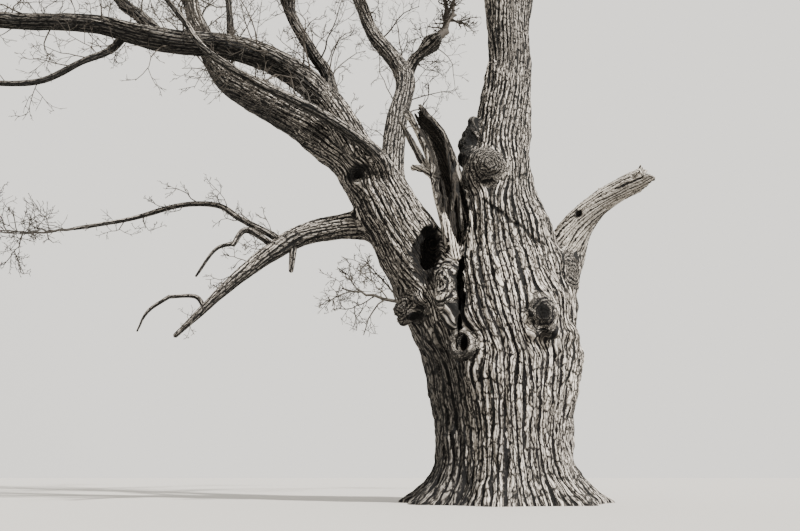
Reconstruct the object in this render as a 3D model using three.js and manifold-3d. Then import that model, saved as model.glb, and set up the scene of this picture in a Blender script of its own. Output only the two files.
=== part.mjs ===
// Old oak tree in winter, life size, in millimetres, with Z up.
// The origin is on the flat cut at ground level, under the middle of the trunk.
// From the front (-Y) the low boughs reach out to the left (-X), and the main
// stem rises on the right and carries the round upper crown.

import * as THREE from 'three';
import { mergeVertices } from 'three/addons/utils/BufferGeometryUtils.js';
import Module from 'manifold-3d';

// Driving dimensions: clearances and facets
const GAP = 0.3;
const CUT_MARGIN = 0.45;
const TWIG_CLEARANCE = 6;
const TRUNK_SIDES = 30;
const STEM_SIDES = 12;
const BOUGH_SIDES = 8;
const BRANCH_SIDES = 6;
const SPRAY_STEM_SIDES = 4;
const TWIG_SIDES = 3;

// Driving dimensions: the trunk's half widths at rising heights, measured from its axis
const TRUNK_RINGS = [
  { z: 0, left: 1290, right: 1260, front: 1230, back: 1220 },
  { z: 140, left: 1110, right: 1070, front: 1060, back: 1050 },
  { z: 300, left: 980, right: 910, front: 930, back: 930 },
  { z: 480, left: 905, right: 830, front: 870, back: 880 },
  { z: 760, left: 870, right: 815, front: 850, back: 860 },
  { z: 1050, left: 858, right: 837, front: 850, back: 860 },
  { z: 1300, left: 920, right: 915, front: 870, back: 880 },
  { z: 1550, left: 955, right: 950, front: 890, back: 900 },
  { z: 1800, left: 1000, right: 965, front: 900, back: 905 },
  { z: 2020, left: 1010, right: 950, front: 895, back: 900 },
  { z: 2230, left: 1035, right: 885, front: 885, back: 890 },
  { z: 2440, left: 1065, right: 890, front: 870, back: 870 },
  { z: 2650, left: 1050, right: 915, front: 840, back: 840 },
  { z: 2880, left: 960, right: 930, front: 780, back: 790 },
  { z: 3110, left: 780, right: 820, front: 690, back: 700 },
  { z: 3300, left: 480, right: 560, front: 460, back: 480 },
];

// Root buttresses: compass angles in degrees, with -90 at the front and 180 on the left
const BUTTRESS_ANGLES = [-152, -104, -48, 6, 62, 118, 172];
const BUTTRESS_HEIGHT = 210;
const BUTTRESS_SPREAD = 13;
const BUTTRESS_FADE = 420;
const BUTTRESS_SINK = 0.35;
const FLUTES = 5;
const FLUTE_DEPTH = 26;
const FLUTE_PITCH = 900;

// Swellings and burls of the trunk: angle and height of the middle, height, and half widths
const TRUNK_SWELLINGS = [
  { angle: -4, z: 1830, rise: 95, spread: 22, tall: 290 },
  { angle: -166, z: 2430, rise: 250, spread: 13, tall: 150 },
  { angle: -150, z: 2080, rise: 70, spread: 18, tall: 220 },
  { angle: -68, z: 2270, rise: 120, spread: 13, tall: 190 },
  { angle: -34, z: 2060, rise: 70, spread: 12, tall: 150 },
  { angle: -116, z: 1500, rise: 55, spread: 17, tall: 260 },
  { angle: 118, z: 2150, rise: 90, spread: 18, tall: 230 },
  { angle: 55, z: 1350, rise: 70, spread: 18, tall: 280 },
];

// Burls on the stems: middle and radius
const STEM_BURLS = {
  right_stem: [{ at: [-150, -330, 4330], radius: 330 }],
  left_stem: [{ at: [-1860, -380, 4160], radius: 190 }],
};

// The occluded knot low on the left front of the trunk, and the long crack above it
const KNOT = { at: [-560, -800, 1870], ring: 120, lip: 48, hole: 74, depth: 170, proud: 50, narrowing: 0.6 };
const KNOT_FACETS = { lip: 5, ring: 12, hole: 8 };
const CRACK = { at: [-590, -700, 2480], width: 80, depth: 330, length: 1000 };

// Upright core of the trunk that the twigs keep clear of
const TRUNK_CORE = { top: 2700, radius: 1200 };

// Routes of the trunk's stems and of the boughs that leave the trunk and stems, each with
// the radius at every point. A route that changes its name on the way is cut by index.
const AXES = {
  left: {
    route: [[-420, 0, 2150], [-760, -40, 2640], [-1310, -120, 3490], [-1640, -160, 4080],
      [-2010, -180, 4600], [-2800, 200, 5330], [-3550, 600, 5940], [-4130, 1000, 6500],
      [-4700, 1400, 7550], [-4970, 1600, 8260], [-5500, 2000, 9900], [-6300, 2700, 11500]],
    radii: [700, 570, 450, 395, 345, 280, 255, 215, 150, 130, 95, 52],
  },
  right: {
    route: [[150, 20, 2500], [90, 10, 3300], [20, 0, 4020], [50, 60, 4740], [150, 120, 5280],
      [280, 200, 6160], [300, 300, 6800], [340, 400, 7460], [400, 470, 8200],
      [270, 560, 9400], [90, 750, 10800], [200, 950, 12400], [560, 1180, 14100],
      [420, 1300, 15500]],
    radii: [850, 720, 520, 440, 385, 315, 305, 390, 345, 255, 200, 150, 100, 50],
  },
  dead: {
    route: [[250, 0, 2500], [640, 0, 2820], [850, -30, 3170], [1030, -90, 3550],
      [1290, -200, 3840], [1610, -310, 4040], [1930, -400, 4180]],
    radii: [420, 350, 290, 218, 160, 135, 138],
  },
  longLeft: {
    route: [[-1600, -230, 4050], [-1830, -420, 4450], [-2290, -600, 5170],
      [-2820, -800, 5580], [-3460, -1000, 5780], [-4460, -1200, 5800], [-5390, -1200, 6030],
      [-6570, -1200, 6090], [-7900, -1350, 6250], [-9200, -1600, 6700]],
    radii: [240, 225, 200, 182, 165, 145, 115, 102, 78, 48],
  },
  leftLow: {
    route: [[-4950, -1180, 5850], [-5120, -1150, 5670], [-5420, -1250, 5450],
      [-5920, -1350, 5110], [-6700, -1500, 5040], [-7500, -1750, 5010]],
    radii: [60, 46, 42, 38, 32, 25],
  },
  leftRising: {
    route: [[-4430, -1190, 5800], [-4780, -1100, 6200], [-5110, -1000, 6520],
      [-5800, -850, 7500], [-6350, -950, 8500]],
    radii: [100, 80, 72, 58, 42],
  },
  leftFront: {
    route: [[-2240, -590, 5120], [-2330, -640, 5590], [-2540, -700, 5910],
      [-2900, -820, 6610], [-3100, -1150, 7700], [-3450, -1600, 8900]],
    radii: [120, 88, 80, 72, 60, 42],
  },
  leftFrontFork: {
    route: [[-2850, -800, 6500], [-2830, -830, 6800], [-2760, -880, 7400], [-2560, -1100, 8500]],
    radii: [70, 52, 46, 34],
  },
  leftUpright: {
    route: [[-3570, -1020, 5800], [-3610, -1060, 6250], [-3690, -1200, 6900],
      [-3900, -1700, 7900]],
    radii: [60, 43, 38, 28],
  },
  diagonal: {
    route: [[-1520, -200, 4020], [-1570, -600, 4340], [-1830, -800, 4540],
      [-2370, -1020, 4840], [-2800, -1170, 5010], [-3210, -1320, 5150],
      [-3780, -1500, 5480], [-4070, -1560, 5870], [-4600, -1700, 6500]],
    radii: [150, 98, 86, 72, 62, 52, 42, 36, 28],
  },
  back: {
    route: [[-1280, 20, 3450], [-1420, 380, 4150], [-1460, 640, 4790], [-1390, 1000, 5710],
      [-1270, 1400, 6700], [-1800, 1700, 7660], [-2070, 2000, 8530], [-2500, 2800, 9900],
      [-3000, 3700, 11000]],
    radii: [240, 200, 180, 160, 150, 118, 105, 80, 48],
  },
  knobbed: {
    route: [[-1290, 1380, 6620], [-1130, 1530, 7020], [-980, 1650, 7260], [-810, 1780, 7520],
      [-690, 1870, 7700]],
    radii: [130, 100, 90, 165, 95],
  },
  lowLeft: {
    route: [[-1420, -60, 3650], [-2140, -100, 3600], [-2680, -200, 3440],
      [-3030, -300, 3190], [-3360, -400, 2890], [-3700, -500, 2520], [-4150, -600, 2010]],
    radii: [270, 170, 140, 122, 100, 66, 30],
  },
  lowLeftBranch: {
    route: [[-2860, -240, 3300], [-3080, -290, 3440], [-3480, -300, 3650],
      [-3800, -300, 3840], [-4300, -300, 3840], [-4950, -320, 3640], [-5650, -400, 3480]],
    radii: [64, 46, 42, 38, 34, 28, 22],
  },
};

// Side twigs of the low dead limb, fused to it: route, first radius and last radius
const DEAD_TWIGS = [
  { route: [[-2960, -280, 3240], [-3360, -400, 3460], [-3520, -480, 3230]], radii: [46, 34] },
  { route: [[-3505, -470, 3260], [-3740, -500, 3160], [-3960, -520, 2800]], radii: [34, 16] },
  { route: [[-2760, -230, 3400], [-2770, -250, 3130], [-2780, -260, 2930]], radii: [58, 30] },
  { route: [[-3820, -530, 2390], [-3960, -500, 2540], [-4290, -520, 2530]], radii: [36, 26] },
  { route: [[-4270, -520, 2540], [-4530, -540, 2340], [-4640, -560, 2080]], radii: [26, 13] },
];

// Upper boughs that bow outward from the main stem: the carrying axis and index on it,
// compass angle, slope at the start and at the end in degrees, length and radii.
// A fork names the bough that it leaves.
const CROWN_BOUGHS = [
  {
    name: 'right_bough', on: 'right', index: 7.5, angle: 8,
    slopes: [52, 22], length: 7400, radii: [215, 55],
  },
  {
    name: 'back_bough', on: 'right', index: 8.6, angle: 98,
    slopes: [54, 27], length: 7300, radii: [180, 50],
  },
  {
    name: 'front_bough', on: 'right', index: 9.1, angle: -66,
    slopes: [48, 16], length: 6600, radii: [165, 50],
  },
  {
    name: 'back_right_bough', on: 'right', index: 9.5, angle: 47,
    slopes: [50, 24], length: 6700, radii: [150, 48],
  },
  {
    name: 'left_crown_bough', on: 'right', index: 9.9, angle: 176,
    slopes: [50, 34], length: 5600, radii: [135, 45],
  },
  {
    name: 'front_right_bough', on: 'right', index: 10.25, angle: -22,
    slopes: [46, 22], length: 5900, radii: [125, 45],
  },
  {
    name: 'back_left_bough', on: 'right', index: 10.5, angle: 134,
    slopes: [50, 30], length: 5600, radii: [115, 42],
  },
  {
    name: 'front_left_bough', on: 'right', index: 10.75, angle: -128,
    slopes: [48, 26], length: 5500, radii: [110, 42],
  },
  {
    name: 'top_left_bough', on: 'right', index: 11.2, angle: 205,
    slopes: [60, 46], length: 3600, radii: [90, 40],
  },
  {
    name: 'right_bough_fork', on: 'right_bough', index: 1.9, angle: -38,
    slopes: [40, 14], length: 3900, radii: [105, 42],
  },
  {
    name: 'back_bough_fork', on: 'back_bough', index: 1.9, angle: 140,
    slopes: [46, 18], length: 3800, radii: [95, 40],
  },
  {
    name: 'front_bough_fork', on: 'front_bough', index: 1.8, angle: -112,
    slopes: [38, 16], length: 3600, radii: [90, 40],
  },
  {
    name: 'steep_left_fork', on: 'left', index: 8.9, angle: 128,
    slopes: [44, 26], length: 3700, radii: [85, 40],
  },
];
const BOW_STEPS = 5;
const BOW_WANDER = 44;
const BOW_SEED = 100;
const COLLAR_SWELL = 1.35;

// Sprays of twigs: the limb whose tip carries each one, and how far it reaches
const SPRAYS = [
  { name: 'twigs_long_left', limb: 'long_left_bough', reach: 2800 },
  { name: 'twigs_left_low', limb: 'left_low_branch', reach: 1500 },
  { name: 'twigs_left_rising', limb: 'left_rising_branch', reach: 2500 },
  { name: 'twigs_left_front', limb: 'left_front_branch', reach: 2500 },
  { name: 'twigs_left_upright', limb: 'left_upright_branch', reach: 1900 },
  { name: 'twigs_diagonal', limb: 'diagonal_branch', reach: 1300 },
  { name: 'twigs_steep_left', limb: 'steep_left_bough', reach: 3000 },
  { name: 'twigs_back_limb', limb: 'back_limb_left', reach: 2900 },
  { name: 'twigs_knob', limb: 'back_limb_knobbed', reach: 1300 },
  { name: 'twigs_low_left', limb: 'low_left_branch', reach: 1400 },
  { name: 'twigs_crown_tip', limb: 'crown_tip', reach: 2900 },
  ...CROWN_BOUGHS.map(({ name }) => ({ name: `twigs_${name}`, limb: name, reach: 3100 })),
  { name: 'twigs_left_front_fork', limb: 'left_front_fork', reach: 2000 },
];
const BURR_SPROUTS = {
  name: 'burr_sprouts', at: [-1150, -280, 2430], toward: [-0.86, -0.2, 0.3], reach: 1250, radius: 30,
};
const SPRAY_SEED = 500;
const SPRAY_ENTRY = 0.85;

// Rule of the sprays: lengths as shares of the reach, angles in degrees
const STEM_SHARE = 0.8;
const STEM_STEPS = 4;
const STEM_TAPER = 0.35;
const STEM_WANDER = 26;
const LEAST_WANDER = 0.4;
const UPWARD_PULL = 0.1;
const SIDE_STATIONS = [0.2, 0.38, 0.56, 0.73, 0.88];
const SIDE_SHARES = [0.66, 0.34];
const SIDE_SPREAD = 50;
const SIDE_BEND = 22;
const SIDE_SWING = 60;
const SIDE_RADIUS = 0.55;
const SIDE_TAPER = 0.75;
const SIDE_LENGTHS = [0.8, 1.2];
const SPREADS = [0.75, 1.25];
const TWIG_STATION = 0.55;
const TWIG_SHARE = 0.58;
const TWIG_SPREAD = 44;
const TWIG_SWING = 80;
const TWIG_RADIUS = 0.65;
const TWIG_LENGTHS = [0.7, 1.3];
const THINNEST = 7;
const SIDE_THINNEST = 1.3;
const SIDE_TIP = 0.8;
const TWIG_TIP = 0.7;
const GOLDEN_ANGLE = 137.5;
const MIDDLE_SHARE = 0.5;

// Broken shell of the hollow stem that stands in the fork
const SNAG = {
  route: [[-540, -420, 3020], [-575, -440, 3500], [-650, -420, 3920], [-760, -380, 4400],
    [-910, -320, 4860], [-1165, -250, 5290]],
  radii: [250, 232, 230, 195, 190, 135],
  wall: 62,
  opening: 150,
  faces: -70,
  arcs: 8,
  ragged: 190,
  seed: 5,
};

// Break at the end of the dead limb on the right, and its stubs
const DEAD_END = { ragged: 130, sleeve: 200, seed: 11 };
const STUB_SIDES = 4;
const DEAD_STUBS = [
  { from: [1310, -210, 3840], to: [1370, -250, 4110], radii: [46, 14] },
  { from: [1890, -380, 4200], to: [1900, -400, 4370], radii: [62, 22] },
];

// Colours of bark, dead wood and twigs
const BARK = { color: 0x8d867b, roughness: 0.92 };
const DEAD_WOOD = { color: 0xb3aca0, roughness: 0.85 };
const TWIG_BARK = { color: 0x6f6860, roughness: 0.9 };

const wasm = await Module();
wasm.setup();

const degrees = Math.PI / 180;

// A repeatable stream of numbers from 0 to 1
function seeded(seed) {
  let state = seed >>> 0;
  return () => {
    state = (state + 0x6D2B79F5) >>> 0;
    let mixed = Math.imul(state ^ (state >>> 15), state | 1);
    mixed ^= mixed + Math.imul(mixed ^ (mixed >>> 7), mixed | 61);
    return ((mixed ^ (mixed >>> 14)) >>> 0) / 4294967296;
  };
}

function vector([x, y, z]) {
  return new THREE.Vector3(x, y, z);
}

// Closed solid from shared points and triangles
function solidFrom(points, triangles) {
  const vertProperties = new Float32Array(points.flatMap((p) => [p.x, p.y, p.z]));
  const mesh = new wasm.Mesh({ numProp: 3, vertProperties, triVerts: new Uint32Array(triangles.flat()) });
  return new wasm.Manifold(mesh);
}

function solidFromGeometry(geometry, placement) {
  geometry.deleteAttribute('normal');
  geometry.deleteAttribute('uv');
  const merged = mergeVertices(geometry.applyMatrix4(placement), 1e-4);
  const mesh = new wasm.Mesh({
    numProp: 3,
    vertProperties: new Float32Array(merged.getAttribute('position').array),
    triVerts: new Uint32Array(merged.getIndex().array),
  });
  return new wasm.Manifold(mesh);
}

// The largest body of a solid, without the loose scraps that a cut can leave
function mainBody(solid) {
  return solid.decompose().sort((a, b) => b.volume() - a.volume())[0];
}

// Skin between rings of equal size, closed at both ends on a middle point
function loft(rings) {
  const sides = rings[0].length;
  const points = rings.flat();
  const triangles = [];
  for (let level = 0; level + 1 < rings.length; level += 1) {
    for (let side = 0; side < sides; side += 1) {
      const a = level * sides + side;
      const b = level * sides + ((side + 1) % sides);
      triangles.push([a, b, b + sides], [a, b + sides, a + sides]);
    }
  }
  const last = (rings.length - 1) * sides;
  for (let side = 1; side + 1 < sides; side += 1) {
    triangles.push([0, side + 1, side], [last, last + side, last + side + 1]);
  }
  return solidFrom(points, triangles);
}

// Value of a list at a fractional index
function valueAt(list, index) {
  const lower = Math.min(Math.floor(index), list.length - 2);
  return THREE.MathUtils.lerp(list[lower], list[lower + 1], index - lower);
}

function curveOf(axis) {
  return new THREE.CatmullRomCurve3(axis.route.map(vector), false, 'catmullrom', 0.5);
}

// Point, direction and radius of an axis at a fractional index of its route
function stationAt(axis, index) {
  const curve = curveOf(axis);
  const share = THREE.MathUtils.clamp(index / (axis.route.length - 1), 0, 1);
  const radius = valueAt(axis.radii, index);
  return { point: curve.getPoint(share), direction: curve.getTangent(share), radius };
}

// Stations of an axis between two indices, with a few steps to each span of the route
function stationsBetween(axis, from, to, stepsPerSpan) {
  const count = Math.max(1, Math.ceil((to - from) * stepsPerSpan));
  return Array.from({ length: count + 1 }, (_, i) => stationAt(axis, from + ((to - from) * i) / count));
}

// Rings of points square to the route, turned as little as possible along it. Growing
// them makes the limb wider all round and longer at both ends.
function ringsAlong(stations, sides, grow = 0) {
  let normal = new THREE.Vector3(0, -1, 0.01);
  return stations.map(({ point, direction, radius }, row) => {
    normal = normal.clone().addScaledVector(direction, -normal.dot(direction)).normalize();
    const binormal = direction.clone().cross(normal);
    const outward = (row === 0 ? -grow : 0) + (row === stations.length - 1 ? grow : 0);
    const middle = point.clone().addScaledVector(direction, outward);
    return Array.from({ length: sides }, (_, side) => {
      const angle = (side / sides) * 2 * Math.PI;
      return middle.clone()
        .addScaledVector(normal, Math.cos(angle) * (radius + grow))
        .addScaledVector(binormal, Math.sin(angle) * (radius + grow));
    });
  });
}

// Tapered twig through a few points
function twigSolid(points, radii, sides) {
  const steps = points.slice(1).map((point, i) => point.clone().sub(points[i]).normalize());
  const stations = points.map((point, i) => {
    const direction = (steps[i - 1] ?? steps[i]).clone().add(steps[i] ?? steps[i - 1]).normalize();
    return { point, direction, radius: radii[i] };
  });
  return loft(ringsAlong(stations, sides));
}

// Shortest distance between two straight segments
function segmentDistance(a, b, c, d) {
  const u = b.clone().sub(a);
  const v = d.clone().sub(c);
  const w = a.clone().sub(c);
  const uu = u.dot(u);
  const vv = v.dot(v);
  const uv = u.dot(v);
  const uw = u.dot(w);
  const vw = v.dot(w);
  const clamp = (value) => THREE.MathUtils.clamp(value, 0, 1);
  const spread = uu * vv - uv * uv;
  let s = spread > 1e-9 ? clamp((uv * vw - vv * uw) / spread) : 0;
  const t = clamp((uv * s + vw) / vv);
  s = clamp((uv * t - uw) / uu);
  return a.clone().addScaledVector(u, s).distanceTo(c.clone().addScaledVector(v, t));
}

// Every limb made so far, as straight segments that the twigs keep clear of
const limbSegments = [];

function rememberLimb(stations) {
  for (let i = 0; i + 1 < stations.length; i += 1) {
    limbSegments.push({
      from: stations[i].point,
      to: stations[i + 1].point,
      radius: Math.max(stations[i].radius, stations[i + 1].radius),
    });
  }
}

const group = new THREE.Group();

// Adds a finished solid to the tree as a named mesh
function addNode(name, solid, look) {
  const { vertProperties, triVerts } = solid.getMesh();
  const geometry = new THREE.BufferGeometry();
  geometry.setAttribute('position', new THREE.BufferAttribute(new Float32Array(vertProperties), 3));
  geometry.setIndex(new THREE.BufferAttribute(new Uint32Array(triVerts), 1));
  geometry.computeVertexNormals();
  const mesh = new THREE.Mesh(geometry, new THREE.MeshStandardMaterial({ ...look, metalness: 0 }));
  mesh.name = name;
  group.add(mesh);
}

// Trunk

function trunkRadius(level, angle) {
  const across = Math.cos(angle) > 0 ? level.right : level.left;
  const along = Math.sin(angle) > 0 ? level.back : level.front;
  let radius = 1 / Math.hypot(Math.cos(angle) / across, Math.sin(angle) / along);
  const apart = (degreesAt) => {
    const turn = Math.abs(angle / degrees - degreesAt) % 360;
    return Math.min(turn, 360 - turn);
  };
  let swell = -BUTTRESS_SINK;
  for (const buttress of BUTTRESS_ANGLES) {
    swell += Math.exp(-((apart(buttress) / BUTTRESS_SPREAD) ** 2));
  }
  radius += BUTTRESS_HEIGHT * swell * Math.exp(-level.z / BUTTRESS_FADE);
  radius += FLUTE_DEPTH * Math.cos(FLUTES * angle + level.z / FLUTE_PITCH);
  for (const { angle: middle, z, rise, spread, tall } of TRUNK_SWELLINGS) {
    radius += rise * Math.exp(-((apart(middle) / spread) ** 2) - ((level.z - z) / tall) ** 2);
  }
  return radius;
}

function trunkBody(grow = 0) {
  const top = TRUNK_RINGS.length - 1;
  return loft(TRUNK_RINGS.map((level, row) => Array.from({ length: TRUNK_SIDES }, (_, side) => {
    const angle = (side / TRUNK_SIDES) * 2 * Math.PI;
    const radius = trunkRadius(level, angle) + grow;
    const height = level.z + (row === top ? grow : 0);
    return new THREE.Vector3(radius * Math.cos(angle), radius * Math.sin(angle), height);
  })));
}

// The lowest stretch of each stem, fused to the trunk up to its square cut
const TRUNK_COLLARS = [{ on: 'left', to: 2 }, { on: 'right', to: 2 }, { on: 'dead', to: 2 }];

function trunkWithCollars(grow = 0) {
  return TRUNK_COLLARS.reduce((solid, { on, to }) => {
    const stations = stationsBetween(AXES[on], 0, to, 2);
    return solid.add(loft(ringsAlong(stations, STEM_SIDES, grow)));
  }, trunkBody(grow));
}

function buildTrunk() {
  const facing = new THREE.Vector3(KNOT.at[0], KNOT.at[1], 0).normalize();
  const turned = new THREE.Quaternion().setFromUnitVectors(new THREE.Vector3(0, 0, 1), facing);
  const place = (at, push) => new THREE.Matrix4().compose(
    vector(at).addScaledVector(facing, push), turned, new THREE.Vector3(1, 1, 1));
  const ring = new THREE.TorusGeometry(KNOT.ring, KNOT.lip, KNOT_FACETS.lip, KNOT_FACETS.ring);
  const lip = solidFromGeometry(ring, place(KNOT.at, KNOT.proud));
  const upright = new THREE.Matrix4().makeRotationX(Math.PI / 2);
  const plug = new THREE.CylinderGeometry(
    KNOT.hole, KNOT.hole * KNOT.narrowing, KNOT.depth * 2, KNOT_FACETS.hole);
  const hole = solidFromGeometry(plug.applyMatrix4(upright), place(KNOT.at, 0));
  const wedge = new THREE.OctahedronGeometry(1);
  wedge.scale(CRACK.width / 2, CRACK.length / 2, CRACK.depth);
  wedge.applyMatrix4(upright);
  const crackTurn = new THREE.Matrix4().makeRotationZ(Math.atan2(CRACK.at[1], CRACK.at[0]) + Math.PI / 2);
  const crackPlace = new THREE.Matrix4().setPosition(...CRACK.at);
  const crack = solidFromGeometry(wedge.applyMatrix4(crackTurn), crackPlace);
  return mainBody(trunkWithCollars().add(lip).subtract(hole).subtract(crack));
}

addNode('trunk', buildTrunk(), BARK);
for (const { on, to } of TRUNK_COLLARS) {
  rememberLimb(stationsBetween(AXES[on], 0, to, 2));
}
limbSegments.push({ from: vector([0, 0, 0]), to: vector([0, 0, TRUNK_CORE.top]), radius: TRUNK_CORE.radius });

// Stems and boughs

// Solid of a limb between two indices of its axis
function limbSolid(axis, from, to, sides, stepsPerSpan, grow = 0) {
  return loft(ringsAlong(stationsBetween(axis, from, to, stepsPerSpan), sides, grow));
}

// Index that lies one gap further along an axis
function afterGap(axis, index) {
  const step = 0.01;
  const stride = stationAt(axis, index).point.distanceTo(stationAt(axis, index + step).point);
  return index + (step * GAP) / stride;
}

function withBurls(solid, burls, grow = 0) {
  return burls.reduce((body, { at, radius }) => {
    const ball = new THREE.IcosahedronGeometry(radius + grow, 1);
    return body.add(solidFromGeometry(ball, new THREE.Matrix4().setPosition(...at)));
  }, solid);
}

// Limbs by name, each with its solid's maker for cutting others and its tip
const limbs = {};

function addLimb(name, axis, { from = 0, to = axis.route.length - 1, sides = BOUGH_SIDES,
  steps = 2, cutBy = [], look = BARK, shape = (solid) => solid } = {}) {
  const start = from > 0 ? afterGap(axis, from) : 0;
  const burls = STEM_BURLS[name] ?? [];
  const grown = (grow) => withBurls(limbSolid(axis, from, to, sides, steps, grow), burls, grow);
  let solid = shape(withBurls(limbSolid(axis, start, to, sides, steps), burls));
  for (const carrier of cutBy) {
    const cut = carrier === 'trunk' ? trunkWithCollars(CUT_MARGIN) : limbs[carrier].grown(CUT_MARGIN);
    solid = solid.subtract(cut);
  }
  addNode(name, mainBody(solid), look);
  rememberLimb(stationsBetween(axis, start, to, steps));
  limbs[name] = { grown, tip: stationAt(axis, to), axis };
}

addLimb('right_stem', AXES.right, { from: 2, to: 8, sides: STEM_SIDES, cutBy: ['trunk'] });
addLimb('leader', AXES.right, { from: 8, to: 11, steps: 3 });
addLimb('crown_tip', AXES.right, { from: 11, to: 13, sides: BRANCH_SIDES, steps: 3 });
addLimb('left_stem', AXES.left, { from: 2, to: 4, sides: STEM_SIDES, cutBy: ['trunk'] });
addLimb('steep_left_bough', AXES.left, { from: 4, cutBy: ['left_stem'] });
addLimb('long_left_bough', AXES.longLeft, { cutBy: ['left_stem', 'steep_left_bough'] });
addLimb('left_low_branch', AXES.leftLow, { sides: BRANCH_SIDES, cutBy: ['long_left_bough'] });
addLimb('left_rising_branch', AXES.leftRising, { sides: BRANCH_SIDES, cutBy: ['long_left_bough'] });
addLimb('left_front_branch', AXES.leftFront, { sides: BRANCH_SIDES, cutBy: ['long_left_bough'] });
addLimb('left_front_fork', AXES.leftFrontFork, { sides: BRANCH_SIDES, cutBy: ['left_front_branch'] });
addLimb('left_upright_branch', AXES.leftUpright, { sides: BRANCH_SIDES, cutBy: ['long_left_bough'] });
addLimb('diagonal_branch', AXES.diagonal, {
  sides: BRANCH_SIDES, cutBy: ['left_stem', 'steep_left_bough', 'long_left_bough'],
});
addLimb('back_limb', AXES.back, {
  to: 4,
  cutBy: ['trunk', 'left_stem', 'steep_left_bough', 'long_left_bough'],
});
addLimb('back_limb_left', AXES.back, { from: 4, sides: BRANCH_SIDES });
addLimb('back_limb_knobbed', AXES.knobbed, {
  sides: BRANCH_SIDES,
  cutBy: ['back_limb', 'back_limb_left'],
});

const fuseTwigs = (solid) => DEAD_TWIGS.reduce((body, twig) => {
  const [thick, slim] = twig.radii;
  const axis = { route: twig.route, radii: [thick, (thick + slim) / 2, slim] };
  rememberLimb(stationsBetween(axis, 0, 2, 2));
  return body.add(limbSolid(axis, 0, 2, TWIG_SIDES, 1));
}, solid);
addLimb('low_left_limb', AXES.lowLeft, { cutBy: ['left_stem', 'trunk'], shape: fuseTwigs });
addLimb('low_left_branch', AXES.lowLeftBranch, { sides: BRANCH_SIDES, cutBy: ['low_left_limb'] });

// Dead limb on the right, with a torn end and two stubs
function tornEnd(solid) {
  const end = stationAt(AXES.dead, AXES.dead.route.length - 1);
  const random = seeded(DEAD_END.seed);
  const inner = { ...end, point: end.point.clone().addScaledVector(end.direction, -DEAD_END.sleeve) };
  const rings = ringsAlong([inner, end], BOUGH_SIDES);
  rings[1] = rings[1].map((p) => p.addScaledVector(end.direction, DEAD_END.ragged * random()));
  const stub = ({ from, to, radii }) => twigSolid([vector(from), vector(to)], radii, STUB_SIDES);
  return DEAD_STUBS.reduce((body, spec) => body.add(stub(spec)), solid.add(loft(rings)));
}
addLimb('dead_limb', AXES.dead, { from: 2, cutBy: ['trunk'], look: DEAD_WOOD, shape: tornEnd });

// Hollow snag: an open shell whose slot faces the front
function buildSnag() {
  const stations = stationsBetween(SNAG, 0, SNAG.route.length - 1, 2);
  const random = seeded(SNAG.seed);
  const rings = stations.map(({ point, direction, radius }, row) => {
    const side = new THREE.Vector3(Math.cos(SNAG.faces * degrees), Math.sin(SNAG.faces * degrees), 0);
    side.addScaledVector(direction, -side.dot(direction)).normalize();
    const across = direction.clone().cross(side);
    const arc = (wallRadius, turn) => point.clone()
      .addScaledVector(side, Math.cos(turn) * wallRadius)
      .addScaledVector(across, Math.sin(turn) * wallRadius);
    const half = (SNAG.opening / 2) * degrees;
    const stride = (2 * Math.PI - 2 * half) / (SNAG.arcs - 1);
    const turns = Array.from({ length: SNAG.arcs }, (_, i) => half + stride * i);
    const outer = turns.map((turn) => arc(radius, turn));
    const inner = turns.map((turn) => arc(radius - SNAG.wall, turn)).reverse();
    if (row === stations.length - 1) {
      for (let i = 0; i < SNAG.arcs; i += 1) {
        const rise = SNAG.ragged * random();
        outer[i].addScaledVector(direction, rise);
        inner[SNAG.arcs - 1 - i].addScaledVector(direction, rise);
      }
    }
    return { outer, inner };
  });
  return shell(rings);
}

// Closed solid of an open shell: rings that run out along one arc and back along the other
function shell(rings) {
  const count = rings[0].outer.length;
  const size = count * 2;
  const points = rings.flatMap(({ outer, inner }) => [...outer, ...inner]);
  const triangles = [];
  for (let level = 0; level + 1 < rings.length; level += 1) {
    for (let i = 0; i < size; i += 1) {
      const a = level * size + i;
      const b = level * size + ((i + 1) % size);
      triangles.push([a, b, b + size], [a, b + size, a + size]);
    }
  }
  const last = (rings.length - 1) * size;
  for (let i = 0; i + 1 < count; i += 1) {
    const [a, b, c, d] = [i, i + 1, size - 2 - i, size - 1 - i];
    triangles.push([a, c, b], [a, d, c], [last + a, last + b, last + c], [last + a, last + c, last + d]);
  }
  return solidFrom(points, triangles);
}

const snag = ['left_stem', 'right_stem'].reduce(
  (solid, carrier) => solid.subtract(limbs[carrier].grown(CUT_MARGIN)),
  buildSnag().subtract(trunkWithCollars(CUT_MARGIN)));
addNode('hollow_snag', mainBody(snag), DEAD_WOOD);
rememberLimb(stationsBetween(SNAG, 0, SNAG.route.length - 1, 2));

// Upper crown

// Route that leaves a point steeply and bows over, wandering a little
function bowedRoute(start, angle, slopes, length, seed) {
  const random = seeded(seed);
  const wander = () => BOW_WANDER * (random() - 0.5);
  const route = [start.toArray()];
  const point = start.clone();
  for (let i = 0; i < BOW_STEPS; i += 1) {
    const slope = (THREE.MathUtils.lerp(slopes[0], slopes[1], i / (BOW_STEPS - 1)) + wander()) * degrees;
    const heading = (angle + wander()) * degrees;
    const level = Math.cos(slope);
    point.add(new THREE.Vector3(level * Math.cos(heading), level * Math.sin(heading), Math.sin(slope))
      .multiplyScalar(length / BOW_STEPS));
    route.push(point.toArray());
  }
  return route;
}

function axisOf(name) {
  return AXES[name] ?? limbs[name].axis;
}

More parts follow.
